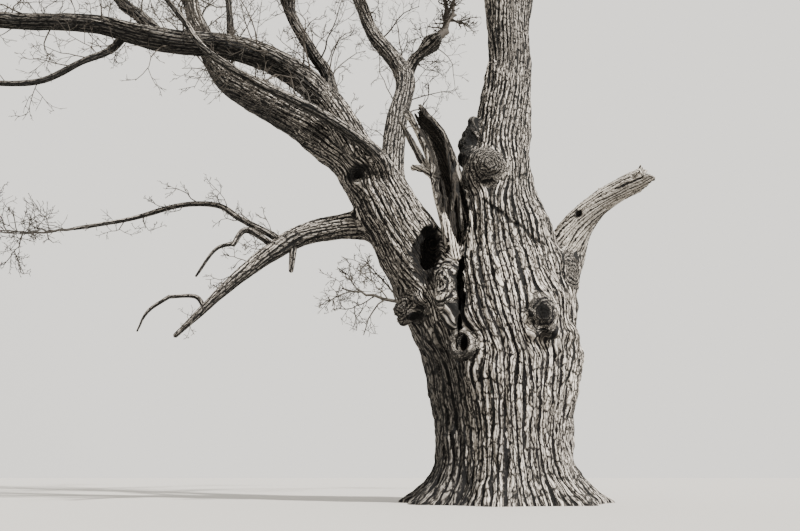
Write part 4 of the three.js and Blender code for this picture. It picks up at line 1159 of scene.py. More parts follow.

# Limbs: shape, line, first and last index, ring spacing, width of a side, salt, tone, and
# whether the limb's root melts into the trunk. The low tones of the long left bough's limbs are
# partly painted shade
LIMBS = [
    ("right_stem", "right", 4.5, 8.4, 0.036, 0.0135, 50, 0.9, True),
    ("right_stem", "right", 8.3, 13, 0.08, 0.024, 50, 0.85, True),
    ("left_stem", "left", 4.6, 9, 0.04, 0.0125, 100, 0.8, True),
    ("left_stem", "left", 8.9, 11, 0.08, 0.02, 100, 0.7, True),
    ("back", "back", 2.1, 6, 0.045, 0.0125, 200, 0.68, True),
    ("back", "back", 5.9, 8, 0.08, 0.02, 200, 0.7, True),
    ("back", "knobbed", 0, 4, 0.024, 0.016, 350, 0.7, False),
    ("long_left", "long_left", 2.2, 7.6, 0.04, 0.0105, 250, 0.44, True),
    ("long_left", "long_left", 7.5, 9, 0.05, 0.013, 250, 0.44, True),
    ("long_left", "left_low", 0, 5, 0.04, 0.0085, 400, 0.3, False),
    ("long_left", "left_rising", 0, 4, 0.045, 0.01, 450, 0.33, False),
    ("long_left", "left_front", 0, 5, 0.045, 0.01, 500, 0.45, False),
    ("long_left", "left_front_fork", 0, 3, 0.05, 0.01, 520, 0.4, False),
    ("long_left", "left_upright", 0, 3, 0.05, 0.009, 550, 0.35, False),
    ("long_left", "diagonal", 1.2, 8, 0.04, 0.0085, 600, 0.66, True),
    ("low_left", "low_left", 1.9, 6, 0.034, 0.0095, 300, 0.85, True),
    ("low_left", "low_left_branch", 0, 6, 0.04, 0.008, 650, 0.7, False),
]
for shape, name, first, last, spacing, girth, salt, shade, melts in LIMBS:
    tube(SHAPES[shape], LINES[name], first, last, spacing, girth, salt, shade, melts)
for order, bough in enumerate(CROWN_BOUGHS):
    tube(SHAPES["crown"], LINES[bough[0]], 0, BOW_STEPS, 0.06, 0.036, 700 + SALT_STEP * order, 0.7)
for route, radii in DEAD_TWIGS:
    tube(SHAPES["low_left"], Line(route, radii), 0, 2, 0.03, 0.012, 1500, 0.8)

for name, shape, nodes in (
        ("trunk_foot_bark", "trunk_foot", ["trunk"]),
        ("trunk_top_bark", "trunk_top", ["trunk"]),
        ("right_stem_bark", "right_stem", ["right_stem", "leader", "crown_tip"]),
        ("left_stem_bark", "left_stem", ["left_stem", "steep_left_bough"]),
        ("long_left_bough_bark", "long_left", [
            "long_left_bough", "left_low_branch", "left_rising_branch", "left_front_branch",
            "left_front_fork", "left_upright_branch", "diagonal_branch"]),
        ("low_left_limb_bark", "low_left", ["low_left_limb", "low_left_branch"]),
        ("back_limb_bark", "back", ["back_limb", "back_limb_left", "back_limb_knobbed"]),
        ("crown_boughs_bark", "crown", [bough[0] for bough in CROWN_BOUGHS])):
    make_piece(name, SHAPES[shape], BARK, nodes)

# Dead wood: the hollow snag in the fork and the broken limb on the right

SNAG_ROUTE = [(-540, -420, 3020), (-575, -440, 3500), (-650, -420, 3920), (-760, -380, 4400),
              (-910, -320, 4860), (-1165, -250, 5290)]
SNAG_RADII = [250, 232, 230, 195, 190, 135]
# Thickness of the shell, half angle and compass angle of its opening, and how far its teeth
# reach past the end of its line
SNAG_WALL = 0.062
SNAG_OPENING = math.radians(75)
SNAG_FACES = math.radians(-70)
SNAG_RAGGED = 0.19
# Height of the cut under it, down in the fork
SNAG_FOOT = 2.98
SNAG = Line(SNAG_ROUTE, SNAG_RADII)
# Splinters: points with radii
SPLINTERS = [
    [((-1.35, -0.3, 5.08), 0.016), ((-1.2, -0.32, 4.8), 0.042), ((-1.05, -0.36, 4.47), 0.05),
     ((-0.95, -0.4, 4.34), 0.03)],
    [((-1.16, -0.36, 4.36), 0.04), ((-1.02, -0.39, 4.33), 0.05), ((-0.86, -0.42, 4.2), 0.06)],
    [((-0.62, -0.42, 4.5), 0.014), ((-0.6, -0.46, 4.2), 0.028), ((-0.56, -0.5, 3.8), 0.03),
     ((-0.54, -0.52, 3.4), 0.02)],
    [((-0.74, -0.44, 4.75), 0.014), ((-0.68, -0.46, 4.4), 0.03), ((-0.62, -0.5, 4.0), 0.035),
     ((-0.66, -0.56, 3.7), 0.02)],
]
# Boards of old wood left in the hollow: lower end, upper end, half width and half thickness.
# The first is dark like the hollow, the others are pale.
BOARDS = [
    ((-0.67, -0.5, 3.35), (-0.7, -0.48, 3.93), 0.095, 0.014),
    ((-0.6, -0.67, 2.98), (-0.79, -0.6, 3.62), 0.052, 0.018),
    ((-0.42, -0.66, 3.1), (-0.42, -0.6, 3.62), 0.022, 0.02),
]


def around(line, points, first=0.0, tapers=True):
    """For each point: the nearest index of a line, the distance from its middle, the turn round it
    from the side that the snag faces, and how far the point lies beyond along the line."""
    _, index = line.nearest(points, first, tapers=tapers)
    along = line.at(index, "along")
    away = points - line.at(index, "point")
    beyond = dot(away, along)
    facing = np.array([math.cos(SNAG_FACES), math.sin(SNAG_FACES), 0])
    side = unit(facing - along * (along @ facing)[:, None])
    over = np.cross(along, side)
    x, y = dot(away, side), dot(away, over)
    return index, np.hypot(x, y), np.arctan2(y, x), beyond


def teeth(turn, salt):
    """Ragged height round a broken end, from 0 to 1."""
    q = np.stack([np.cos(turn) * 2.4, np.sin(turn) * 2.4, np.full(len(turn), salt * 3.7)], -1)
    fine = q * 3.1
    return np.clip(0.5 + 0.55 * noise(q, salt) + 0.4 * noise(fine, salt + 1), 0, 1)


def board_distance(p, boards=BOARDS):
    """Distance to the flat boards, with ragged upper ends."""
    best = np.full(len(p), 1e9)
    for low, high, half, thin in boards:
        low, high = np.array(low), np.array(high)
        along = unit(high - low)
        face = unit(np.array([0.15, -1, 0]) - along * (along @ (0.15, -1, 0)))
        away = p - low
        across = away @ np.cross(along, face)
        up = away @ along
        tall = np.linalg.norm(high - low)
        ragged = 0.07 * noise(np.stack([across / 0.03, up * 0, up * 0 + half * 90], -1), 66)
        side = np.abs(across + 0.02 * noise(p / 0.16, 67)) - half * (1 - 0.25 * up / tall)
        box = np.maximum(side, np.abs(away @ face) - thin)
        ends = np.maximum(-up, up - tall - ragged) * 0.7
        best = np.minimum(best, np.maximum(box, ends))
    return best


# How far from splinters and boards the grain is theirs
OWN_REACH = 0.015


def own_grain(p, x, length, round_trip):
    """Lays the grain of splinters and boards along them."""
    loose = [(chain_distance(p, chain), chain[0][0], chain[-1][0]) for chain in SPLINTERS]
    for gap, low, high in loose + [(board_distance(p), BOARDS[0][0], BOARDS[0][1])]:
        along = unit(np.subtract(high, low))
        mine = gap < OWN_REACH
        x[mine] = p[mine] @ np.cross(along, (0, -1, 0)) + 0.6 * p[mine, 1]
        length[mine] = p[mine] @ along
        round_trip[mine] = NO_PERIOD


def snag_distance(p):
    """Distance to the hollow shell with its splinters and boards."""
    index, away, turn, beyond = around(SNAG, p)
    radius = SNAG.at(index, "radius")
    length = SNAG.at(index, "length") + beyond
    q = np.stack([np.cos(turn) * 2, np.sin(turn) * 2, length * 2.2], -1)
    wave = 0.03 * noise(q, 61)
    shell = np.maximum(away - radius - wave, radius - SNAG_WALL - wave * 0.4 - away)
    edge = SNAG_OPENING + 0.3 * noise(np.stack([turn * 0, np.sign(turn) * 3, length * 4.5], -1), 63)
    edge += 0.12 * noise(np.stack([turn * 0, np.sign(turn) * 3, length * 14], -1), 64)
    shell = np.maximum(shell, (edge - np.abs(turn)) * away)
    top = SNAG.length[-1] - 0.3 + (0.3 + SNAG_RAGGED) * teeth(turn, 65)
    shell = np.maximum(shell, (length - top) * 0.5)
    for splinter in SPLINTERS:
        shell = blend(shell, chain_distance(p, splinter), 0.03)
    shell = blend(shell, board_distance(p), 0.012)
    return np.maximum(shell, SNAG_FOOT - p[:, 2])


DEAD = LINES["dead"]
# Index where the bare wood begins, then stubs, hole, and the teeth's reach past the line's end
DEAD_FIRST = 1.7
DEAD_STUBS = [[((1.3, -0.21, 3.86), 0.05), ((1.34, -0.23, 4.0), 0.03), ((1.37, -0.25, 4.11), 0.008)],
              [((1.86, -0.38, 4.2), 0.07), ((1.9, -0.39, 4.3), 0.04), ((1.91, -0.4, 4.37), 0.012)]]
DEAD_HOLE = [((0.98, -0.36, 3.7), 0.05), ((1.06, -0.3, 3.72), 0.045)]
DEAD_RAGGED = 0.13


def dead_distance(p):
    """Distance to the broken limb with its stubs and its hole."""
    index, away, turn, beyond = around(DEAD, p, DEAD_FIRST)
    length = DEAD.at(index, "length") + beyond
    radius = DEAD.at(index, "radius")
    rib = 0.03 * noise(np.stack([np.cos(turn) * 2.2, np.sin(turn) * 2.2, length * 1.3], -1), 71)
    limb = away - radius - rib * np.clip(radius / 0.16, 0.4, 1)
    top = DEAD.length[-1] - 0.16 + (0.16 + DEAD_RAGGED) * teeth(turn, 73)
    limb = np.maximum(limb, (length - top) * 0.5)
    limb = np.maximum(limb, DEAD.at(DEAD_FIRST, "length") - length)
    for stub in DEAD_STUBS:
        limb = blend(limb, chain_distance(p, stub), 0.05)
    return carve(limb, chain_distance(p, DEAD_HOLE), 0.02)


# How far the bare wood's pattern is drawn out, and the height in it that lies on the surface
WOOD_STRETCH, WOOD_LEVEL = 9, 0.6


def wood_piece(name, distance, low, high, line, plate, deep, salt, node, first=0.0):
    """Bare wood with lengthwise cracks, from the surface where a distance is zero."""
    points, quads = surface_of(distance, low, high, WOOD_VOXEL)
    normals = vertex_normals(points, quads)
    index, away, _, beyond = around(line, points, first, tapers=False)
    _, _, x, length = line.coordinates(points, index)
    x, length = x + away, length + beyond
    round_trip = 2 * math.pi * line.at(index, "column")
    if node == "hollow_snag":
        own_grain(points, x, length, round_trip)
    height = bark_height(x / plate, length / plate, salt, WOOD_STRETCH)
    moved = points + normals * (deep * (height - WOOD_LEVEL))[:, None]
    grain = np.stack([x, length + salt / 40, round_trip, np.full(len(x), NO_PERIOD)], -1)
    shape = Shape()
    inner = smooth((line.at(index, "radius") * 0.82 - away) / 0.02 + 0.5)
    streak = noise(np.stack([x / 0.04, length / 0.6, 0 * x], -1), salt + 5)
    if node == "hollow_snag":
        board = smooth(1.5 - board_distance(points, BOARDS[1:]) / 0.01)
        spike = smooth(2 - chain_distance(points, SPLINTERS[0][:3]) / 0.01)
        # Rotten wood and painted shade: the inside of the hollow and its outer side that faces right are
        # darkened, save for pale streaks; the pale boards keep their own tone
        shaded = smooth(normals[:, 0] * 2 + 0.8)
        rot_and_shade = inner * smooth(1.5 - streak * 1.4) + (1 - inner) * shaded * smooth(1.1 - streak * 1.3)
        tone_and_painted_light, rot_and_shade = 0.75 + 0.25 * board, np.maximum(np.clip(rot_and_shade, 0, 1) * (1 - board), spike * 0.85)
    else:
        # Painted light on the dead limb's upper side and painted shade below it; its hole is darkened as
        # rotten wood and painted shade
        tone_and_painted_light = 0.5 + 0.38 * smooth(0.5 + 0.9 * normals[:, 2])
        rot_and_shade = smooth(1 - chain_distance(points, DEAD_HOLE) / 0.015)
    shape.add(moved, quads, np.zeros((0, 3), int), 1 - height, tone_and_painted_light, rot_and_shade, grain)
    make_piece(name, shape, DEAD_WOOD, [node])


wood_piece("hollow_snag_wood", snag_distance, (-1.7, -0.95, 2.9), (-0.1, 0.05, 5.75),
           SNAG, 0.04, 0.016, 1200, "hollow_snag")
wood_piece("dead_limb_wood", dead_distance, (0.55, -0.75, 2.9), (2.4, 0.35, 4.6),
           DEAD, 0.045, 0.018, 1300, "dead_limb", DEAD_FIRST)

# Twigs: every spray's stem, side branches and twigs as in the solids, then finer twigs

# Space between a limb's tip and its spray, and the least space from a branch to other limbs and
# to the sprays around
GAP = 0.3
TWIG_CLEARANCE = 6
# Sprays: name, limb that carries it, reach
SPRAYS = [
    ("twigs_long_left", "long_left", 2800), ("twigs_left_low", "left_low", 1500),
    ("twigs_left_rising", "left_rising", 2500), ("twigs_left_front", "left_front", 2500),
    ("twigs_left_upright", "left_upright", 1900), ("twigs_diagonal", "diagonal", 1300),
    ("twigs_steep_left", "left", 3000), ("twigs_back_limb", "back", 2900),
    ("twigs_knob", "knobbed", 1300), ("twigs_low_left", "low_left_branch", 1400),
    ("twigs_crown_tip", "right", 2900),
] + [("twigs_" + bough[0], bough[0], 3100) for bough in CROWN_BOUGHS] + [
    ("twigs_left_front_fork", "left_front_fork", 2000)]
# Sprouts on the left burr: name, start, direction, reach and thickness
BURR_SPROUTS = ("burr_sprouts", (-1150, -280, 2430), (-0.86, -0.2, 0.3), 1250, 30)
# The rule of the solids. Spread, bend and wander are in degrees, stations and shares are of the
# reach or length they start from, and the thinnest radius is in millimetres.
STEM_SHARE, STEM_STEPS, STEM_TAPER, STEM_WANDER, UPWARD_PULL = 0.8, 4, 0.35, 26, 0.1
SIDE_STATIONS = (0.2, 0.38, 0.56, 0.73, 0.88)
SIDE_SHARES = (0.66, 0.34)
SIDE_SPREAD, SIDE_BEND, SIDE_RADIUS = 50, 22, 0.55
TWIG_STATION, TWIG_SHARE, TWIG_SPREAD, TWIG_RADIUS = 0.55, 0.58, 44, 0.65
THINNEST = 7
GOLDEN_ANGLE = 137.5
MIDDLE_SHARE = 0.5
# Top and radius, in millimetres, of the round space above the origin that is kept for the trunk
TRUNK_TOP, TRUNK_SPACE = (0, 0, 2700.0), 1200.0
# Limbs that the twigs keep clear of: line, first and last index, steps to each span
KEPT_CLEAR = [
    ("left", 0, 2, 2), ("right", 0, 2, 2), ("dead", 0, 2, 2), ("right", 2, 8, 2), ("right", 8, 11, 3),
    ("right", 11, 13, 3), ("left", 2, 4, 2), ("left", 4, 11, 2), ("long_left", 0, 9, 2),
    ("left_low", 0, 5, 2), ("left_rising", 0, 4, 2), ("left_front", 0, 5, 2), ("left_upright", 0, 3, 2),
    ("left_front_fork", 0, 3, 2), ("diagonal", 0, 8, 2), ("back", 0, 4, 2), ("back", 4, 8, 2),
    ("knobbed", 0, 4, 2), ("low_left", 0, 6, 2), ("low_left_branch", 0, 6, 2), ("dead", 2, 6, 2),
] + [(bough[0], 0, 5, 2) for bough in CROWN_BOUGHS]


def limb_segments():
    """Straight segments of every limb, in millimetres: two ends and a radius each."""
    starts, ends, radii = [], [], []
    lines = [(LINES[name], first, last, steps) for name, first, last, steps in KEPT_CLEAR]
    lines += [(Line(route, wide), 0, 2, 2) for route, wide in DEAD_TWIGS] + [(SNAG, 0, 5, 2)]
    for line, first, last, steps in lines:
        index = np.linspace(first, last, max(1, math.ceil((last - first) * steps)) + 1)
        places = curve_at(line.route, index) / MM
        wide = line.at(index, "radius") / MM
        starts += list(places[:-1])
        ends += list(places[1:])
        radii += list(np.maximum(wide[:-1], wide[1:]))
    starts.append(np.zeros(3))
    ends.append(np.array(TRUNK_TOP))
    radii.append(TRUNK_SPACE)
    return np.array(starts), np.array(ends), np.array(radii)


SEG_START, SEG_END, SEG_RADIUS = limb_segments()


def segment_distances(a, b):
    """Shortest distances from one straight segment to every limb segment."""
    u, v, w = b - a, SEG_END - SEG_START, a - SEG_START
    uu, vv, uv, uw, vw = u @ u, dot(v, v), v @ u, w @ u, dot(v, w)
    spread = uu * vv - uv * uv
    s = np.where(spread > 1e-9, np.clip((uv * vw - vv * uw) / np.maximum(spread, 1e-9), 0, 1), 0)
    t = np.clip((uv * s + vw) / vv, 0, 1)
    s = np.clip((uv * t - uw) / uu, 0, 1)
    return np.linalg.norm(a + u * s[:, None] - SEG_START - v * t[:, None], axis=1)


PLANS = []
for name, limb, reach in SPRAYS:
    line = LINES[limb]
    direction = line.along[-1]
    tip = line.route[-1] / MM
    PLANS.append([name, tip + direction * GAP, direction, line.radius[-1] / MM * 0.85, reach])
PLANS.append([BURR_SPROUTS[0], np.array(BURR_SPROUTS[1], float), unit(np.array(BURR_SPROUTS[2])),
              BURR_SPROUTS[4], BURR_SPROUTS[3]])
MIDDLES = np.array([start + direction * reach * MIDDLE_SHARE for _, start, direction, _, reach in PLANS])


def keeps_to_its_space(own, a, b, radius):
    """Whether a branch stays nearer its own spray's middle than any other's, and off the limbs."""
    apart_from = np.linalg.norm(MIDDLES - MIDDLES[own], axis=1)
    apart_from[own] = np.inf
    for end in (a, b):
        square = ((end - MIDDLES) ** 2).sum(axis=1)
        lead = (square - square[own]) / (2 * apart_from)
        lead[own] = np.inf
        if lead.min() < radius + TWIG_CLEARANCE:
            return False
    return bool(np.all(segment_distances(a, b) > SEG_RADIUS + radius + TWIG_CLEARANCE))


def turned_from(direction, spread, turn):
    """Direction turned away from another by an angle, toward a compass turn round it."""
    reference = (1, 0, 0) if abs(direction[2]) > 0.9 else (0, 0, 1)
    across = unit(np.cross(direction, reference))
    over = np.cross(across, direction)
    return (direction * math.cos(spread) + across * math.sin(spread) * math.cos(turn)
            + over * math.sin(spread) * math.sin(turn))


def wandered(direction, angle, random):
    spread = math.radians(angle) * (0.4 + 0.6 * random())
    turned = turned_from(direction, spread, 2 * math.pi * random())
    turned[2] += UPWARD_PULL
    return unit(turned)


def point_on(points, share):
    along = share * (len(points) - 1)
    step = min(int(along), len(points) - 2)
    return points[step] + (points[step + 1] - points[step]) * (along - step)


def grow_spray(own, seed):
    """The branches of one spray as in its solid: points and radii in millimetres, and a level."""
    _, start, direction, thick, reach = PLANS[own]
    random = seeded(seed)
    stem = [start]
    direction = direction.copy()
    for i in range(STEM_STEPS):
        stem.append(stem[i] + direction * (reach * STEM_SHARE / STEM_STEPS))
        direction = wandered(direction, STEM_WANDER, random)

    def stem_radius(share):
        return thick * (1 + (STEM_TAPER - 1) * share)

    twigs = [(stem, [stem_radius(i / STEM_STEPS) for i in range(STEM_STEPS + 1)], 0)]
    for order, station in enumerate(SIDE_STATIONS):
        root = point_on(stem, station)
        step = int(station * STEM_STEPS)
        axis = unit(stem[step + 1] - stem[step])
        spread = math.radians(SIDE_SPREAD) * (0.75 + 0.5 * random())
        turn = math.radians(GOLDEN_ANGLE * order + 60 * random())
        heading = turned_from(axis, spread, turn)
        share = SIDE_SHARES[0] + (SIDE_SHARES[1] - SIDE_SHARES[0]) * station
        length = reach * share * (0.8 + 0.4 * random())
        bend = root + heading * length / 2
        tip = bend + wandered(heading, SIDE_BEND, random) * length / 2
        side = [root, bend, tip]
        radius = max(stem_radius(station) * SIDE_RADIUS, THINNEST * 1.3)
        kept = keeps_to_its_space(own, root, bend, radius) and keeps_to_its_space(own, bend, tip, radius)
        if kept:
            twigs.append((side, [radius, radius * 0.75, THINNEST * 0.8], 1))
        opened = math.radians(TWIG_SPREAD) * (0.75 + 0.5 * random())
        swing = math.radians(GOLDEN_ANGLE * order + 80 * random())
        fork = point_on(side, TWIG_STATION)
        end = fork + turned_from(heading, opened, swing) * length * TWIG_SHARE * (0.7 + 0.6 * random())
        slim = max(radius * TWIG_RADIUS, THINNEST)
        if kept and keeps_to_its_space(own, fork, end, slim):
            twigs.append(([fork, end], [slim, THINNEST * 0.7], 2))
    return twigs


# Finer levels: branches from each parent, steps, length as a share of the parent's, opening
# angle, wander and least radius
FINER = [
    {"per": 4, "steps": 5, "share": 0.52, "spread": 50, "wander": 0.24, "least": 0.0065},
    {"per": 4, "steps": 3, "share": 0.52, "spread": 48, "wander": 0.32, "least": 0.0054},
    {"per": 3, "steps": 2, "share": 0.54, "spread": 46, "wander": 0.36, "least": 0.0046},
    {"per": 2, "steps": 1, "share": 0.58, "spread": 42, "wander": 0.2, "least": 0.004},
]
RANDOM = np.random.default_rng(481)
# Side to side waver of a branch over its length, upward pull of each step of a finer branch, its
# radius over its parent's, and the taper to its end
WAVER, FINER_PULL, FINER_RADIUS, FINER_TAPER = 0.012, 0.07, 0.6, 0.55
# How far a spray's finer branches may go from its middle, as a share of its reach
FINER_REACH = 0.62


def smooth_branch(points, radii, steps):
    """A branch through a few points with more steps and a slight waver, in metres."""
    points = np.asarray(points) * MM
    index = np.linspace(0, len(points) - 1, steps + 1)
    curve = curve_at(points, index)
    length = np.linalg.norm(points[-1] - points[0])
    waver = RANDOM.normal(0, 1, (steps + 1, 3)) * length * WAVER
    waver[0] = 0
    return curve + waver, np.interp(index, np.arange(len(radii)), radii) * MM


def finer_branches(points, radii, owner, rule):
    """Side branches for a batch of branches of equal steps."""
    count, rows = points.shape[:2]
    per = rule["per"]
    share = (np.arange(per) + RANDOM.uniform(0.25, 0.95, (count, per))) / per
    share = 0.12 + 0.86 * share
    along = share * (rows - 1)
    step = np.minimum(along.astype(int), rows - 2)
    part = along - step
    which = np.arange(count)[:, None]
    a, b = points[which, step], points[which, step + 1]
    root = a + (b - a) * part[..., None]
    wide = radii[which, step] * (1 - part) + radii[which, step + 1] * part
    direction = unit(b - a)
    full = np.linalg.norm(np.diff(points, axis=1), axis=2).sum(axis=1)[:, None]
    length = full * rule["share"] * (1.15 - 0.6 * share) * RANDOM.uniform(0.65, 1.3, share.shape)
    reference = np.where(np.abs(direction[..., 2:]) > 0.9, np.array([1.0, 0, 0]), np.array([0, 0, 1.0]))
    across = unit(np.cross(direction, reference))
    over = np.cross(across, direction)
    turn = np.radians(GOLDEN_ANGLE) * np.arange(per) + RANDOM.uniform(0, 2 * np.pi, (count, 1))
    turn = turn + RANDOM.uniform(-0.6, 0.6, share.shape)
    spread = np.radians(rule["spread"]) * RANDOM.uniform(0.7, 1.25, share.shape)
    heading = (direction * np.cos(spread)[..., None] + across * (np.sin(spread) * np.cos(turn))[..., None]
               + over * (np.sin(spread) * np.sin(turn))[..., None])
    root, heading = root.reshape(-1, 3), heading.reshape(-1, 3)
    length, wide = length.ravel(), wide.ravel()
    path = [root]
    for _ in range(rule["steps"]):
        heading = heading + RANDOM.normal(0, rule["wander"], heading.shape)
        heading[:, 2] += FINER_PULL
        heading = unit(heading)
        path.append(path[-1] + heading * (length / rule["steps"])[:, None])
    path = np.stack(path, 1)
    base = np.clip(wide * FINER_RADIUS, rule["least"], None)
    taper = np.linspace(1, FINER_TAPER, rule["steps"] + 1)
    return path, base[:, None] * taper, np.repeat(owner, per)


def stays_inside(path, owner):
    """True where a branch keeps to its own spray's space, clear of the limbs and inside the box."""
    ends = np.concatenate([path[:, -1], path[:, path.shape[1] // 2]]) / MM
    own = np.concatenate([owner, owner])
    square = ((ends[:, None] - MIDDLES[None]) ** 2).sum(axis=2)
    keep = square.argmin(axis=1) == own
    reach = np.array([plan[4] for plan in PLANS])[own]
    keep &= square[np.arange(len(own)), own] < (reach * FINER_REACH) ** 2
    low, high = np.array(CAD_BOX[0]) / MM, np.array(CAD_BOX[1]) / MM
    keep &= np.all((ends > low) & (ends < high), axis=1)
    for a, b, radius in zip(SEG_START, SEG_END, SEG_RADIUS):
        middle, half = (a + b) / 2, np.linalg.norm(b - a) / 2 + radius
        close = np.flatnonzero(np.abs(ends - middle).max(axis=1) < half)
        if len(close):
            ab = b - a
            t = np.clip((ends[close] - a) @ ab / (ab @ ab), 0, 1)
            keep[close] &= np.linalg.norm(ends[close] - a - t[:, None] * ab, axis=1) > radius
    return keep[:len(path)] & keep[len(path):]


def twig_tubes(points, radii, sides):
    """Tubes for a batch of branches: vertices and quads."""
    count, rows = points.shape[:2]
    steps = unit(np.diff(points, axis=1))
    along = unit(np.concatenate([steps[:, :1], steps[:, 1:] + steps[:, :-1], steps[:, -1:]], 1))
    reference = np.where(np.abs(along[:, :1, 2:]) > 0.9, np.array([1.0, 0, 0]), np.array([0, 0, 1.0]))
    normal = np.cross(along[:, :1], reference)
    normal = unit(normal - along * (normal * along).sum(axis=2, keepdims=True))
    across = np.cross(along, normal)
    turns = np.arange(sides) / sides * 2 * np.pi
    ring = normal[:, :, None] * np.cos(turns)[:, None] + across[:, :, None] * np.sin(turns)[:, None]
    vertices = points[:, :, None] + ring * radii[:, :, None, None]
    base = np.arange(count * rows).reshape(count, rows)[:, :-1, None] * sides
    side = np.arange(sides)
    a, b = base + side, base + (side + 1) % sides
    quads = np.stack([a, b, b + sides, a + sides], -1)
    return vertices.reshape(-1, 3), quads.reshape(-1, 4)


class TwigSet:
    """Twigs of some sprays, joined."""

    def __init__(self):
        self.points, self.quads, self.shades, self.count = [], [], [], 0

    def add(self, points, radii, owner, sides):
        vertices, quads = twig_tubes(points, radii, sides)
        self.points.append(vertices)
        self.quads.append(quads + self.count)
        self.shades.append(np.repeat(owner % 3, len(quads) // len(points)))
        self.count += len(vertices)


TWIG_GROUPS = {
    "left_twigs": ["twigs_long_left", "twigs_left_low", "twigs_left_rising", "twigs_left_front",
                   "twigs_left_upright", "twigs_diagonal", "twigs_low_left", "twigs_left_front_fork",
                   "burr_sprouts"],
    "back_twigs": ["twigs_steep_left", "twigs_back_limb", "twigs_knob", "twigs_steep_left_fork",
                   "twigs_back_bough", "twigs_back_bough_fork", "twigs_back_left_bough"],
    "right_twigs": ["twigs_right_bough", "twigs_right_bough_fork", "twigs_front_right_bough",
                    "twigs_back_right_bough", "twigs_front_bough"],
    "top_twigs": ["twigs_crown_tip", "twigs_left_crown_bough", "twigs_front_left_bough",
                  "twigs_top_left_bough", "twigs_front_bough_fork"],
}
TWIG_LOOKS = []
for name, colour in (("twig_dark", (0.035, 0.031, 0.027)), ("twig_grey", (0.06, 0.054, 0.047)),
                     ("twig_brown", (0.045, 0.038, 0.031))):
    look, _, shader = new_material(name)
    shader.inputs["Base Color"].default_value = (*colour, 1)
    shader.inputs["Roughness"].default_value = 0.8
    shader.inputs["Specular IOR Level"].default_value = 0.3
    TWIG_LOOKS.append(look)

# Steps of a side shoot, their wander and upward pull, the radius over the length, its least and
# greatest value, and the taper to the end
SHOOT_STEPS, SHOOT_WANDER, SHOOT_PULL = 6, 0.27, 0.06
SHOOT_SLENDER, SHOOT_RADII, SHOOT_TAPER = 0.014, (0.007, 0.019), 0.42
# Side shoots along the limbs: line, first and last index, number and length in metres
SHOOTS = {
    "left_twigs": [("long_left", 2, 8.8, 56, 0.75), ("left_front", 1, 5, 18, 0.75),
                   ("left_front_fork", 0.5, 3, 9, 0.65), ("left_rising", 0.6, 4, 14, 0.85),
                   ("left_upright", 0.5, 3, 11, 0.7), ("left_low", 0.6, 5, 12, 0.55),
                   ("diagonal", 2.2, 8, 20, 0.5), ("low_left_branch", 0.5, 6, 14, 0.5),
                   ("low_left", 2, 5.4, 7, 0.4)],
    "back_twigs": [("left", 5.2, 10.8, 38, 1.0), ("back", 2.6, 7.8, 30, 0.85),
                   ("knobbed", 1, 3.9, 14, 0.75), ("back_bough", 0.8, 4.8, 18, 1.3),
                   ("back_bough_fork", 0.8, 4.8, 14, 1.1),
                   ("back_left_bough", 0.8, 4.8, 17, 1.2), ("steep_left_fork", 0.8, 4.8, 13, 1.0)],
    "right_twigs": [("right_bough", 0.8, 4.8, 20, 1.3), ("right_bough_fork", 0.8, 4.8, 14, 1.1),
                    ("front_right_bough", 0.8, 4.8, 17, 1.2), ("back_right_bough", 0.8, 4.8, 18, 1.2),
                    ("front_bough", 0.8, 4.8, 18, 1.3)],
    "top_twigs": [("right", 8.6, 12.8, 22, 1.2), ("left_crown_bough", 0.8, 4.8, 16, 1.2),
                  ("front_left_bough", 0.8, 4.8, 16, 1.2), ("top_left_bough", 0.8, 4.8, 12, 1.1),
                  ("front_bough_fork", 0.8, 4.8, 13, 1.0)],
}


def grow_finer(made, batches, rule):
    """Adds one finer level to a set of twigs, and returns it."""
    fresh = []
    for points, radii, owner in batches:
        path, wide, own = finer_branches(points, radii, owner, rule)
        keep = stays_inside(path, own)
        if keep.any():
            made.add(path[keep], wide[keep], own[keep], 3)
            fresh.append((path[keep], wide[keep], own[keep]))
    return fresh


def grow_shoots(made, line, first, last, count, length):
    """Small side shoots with finer twigs, all round a limb but mostly on its upper side."""
    index = np.linspace(first, last, count) + RANDOM.uniform(-0.4, 0.4, count) * (last - first) / count
    along, radius = line.at(index, "along"), line.at(index, "radius")
    turn = RANDOM.uniform(0, 2 * np.pi, count)
    normal, across = line.at(index, "normal"), line.at(index, "across")
    out = normal * np.cos(turn)[:, None] + across * np.sin(turn)[:, None]
    out = unit(out + (0, 0, 0.7))
    out = unit(out - along * dot(out, along)[:, None])
    spread = np.radians(RANDOM.uniform(35, 70, count))[:, None]
    heading = unit(along * np.cos(spread) + out * np.sin(spread))
    root = line.at(index, "point") + out * (radius * 0.8)[:, None]
    size = length * RANDOM.uniform(0.35, 1.25, count)
    path = [root]
    for _ in range(SHOOT_STEPS):
        heading = unit(heading + RANDOM.normal(0, SHOOT_WANDER, heading.shape) + (0, 0, SHOOT_PULL))
        path.append(path[-1] + heading * (size / SHOOT_STEPS)[:, None])
    path = np.stack(path, 1)
    wide = np.clip(size * SHOOT_SLENDER, *SHOOT_RADII)
    wide = wide[:, None] * np.linspace(1, SHOOT_TAPER, SHOOT_STEPS + 1)
    owner = ((path[:, -1][:, None] / MM - MIDDLES[None]) ** 2).sum(axis=2).argmin(axis=1)
    made.add(path, wide, owner, 4)
    level = [(path, wide, owner)]
    for rule in FINER[1:]:
        fresh = []
        for points, radii, own in level:
            finer, slim, own = finer_branches(points, radii, own, rule)
            made.add(finer, slim, own, 3)
            fresh.append((finer, slim, own))
        level = fresh


NAMES = [plan[0] for plan in PLANS]
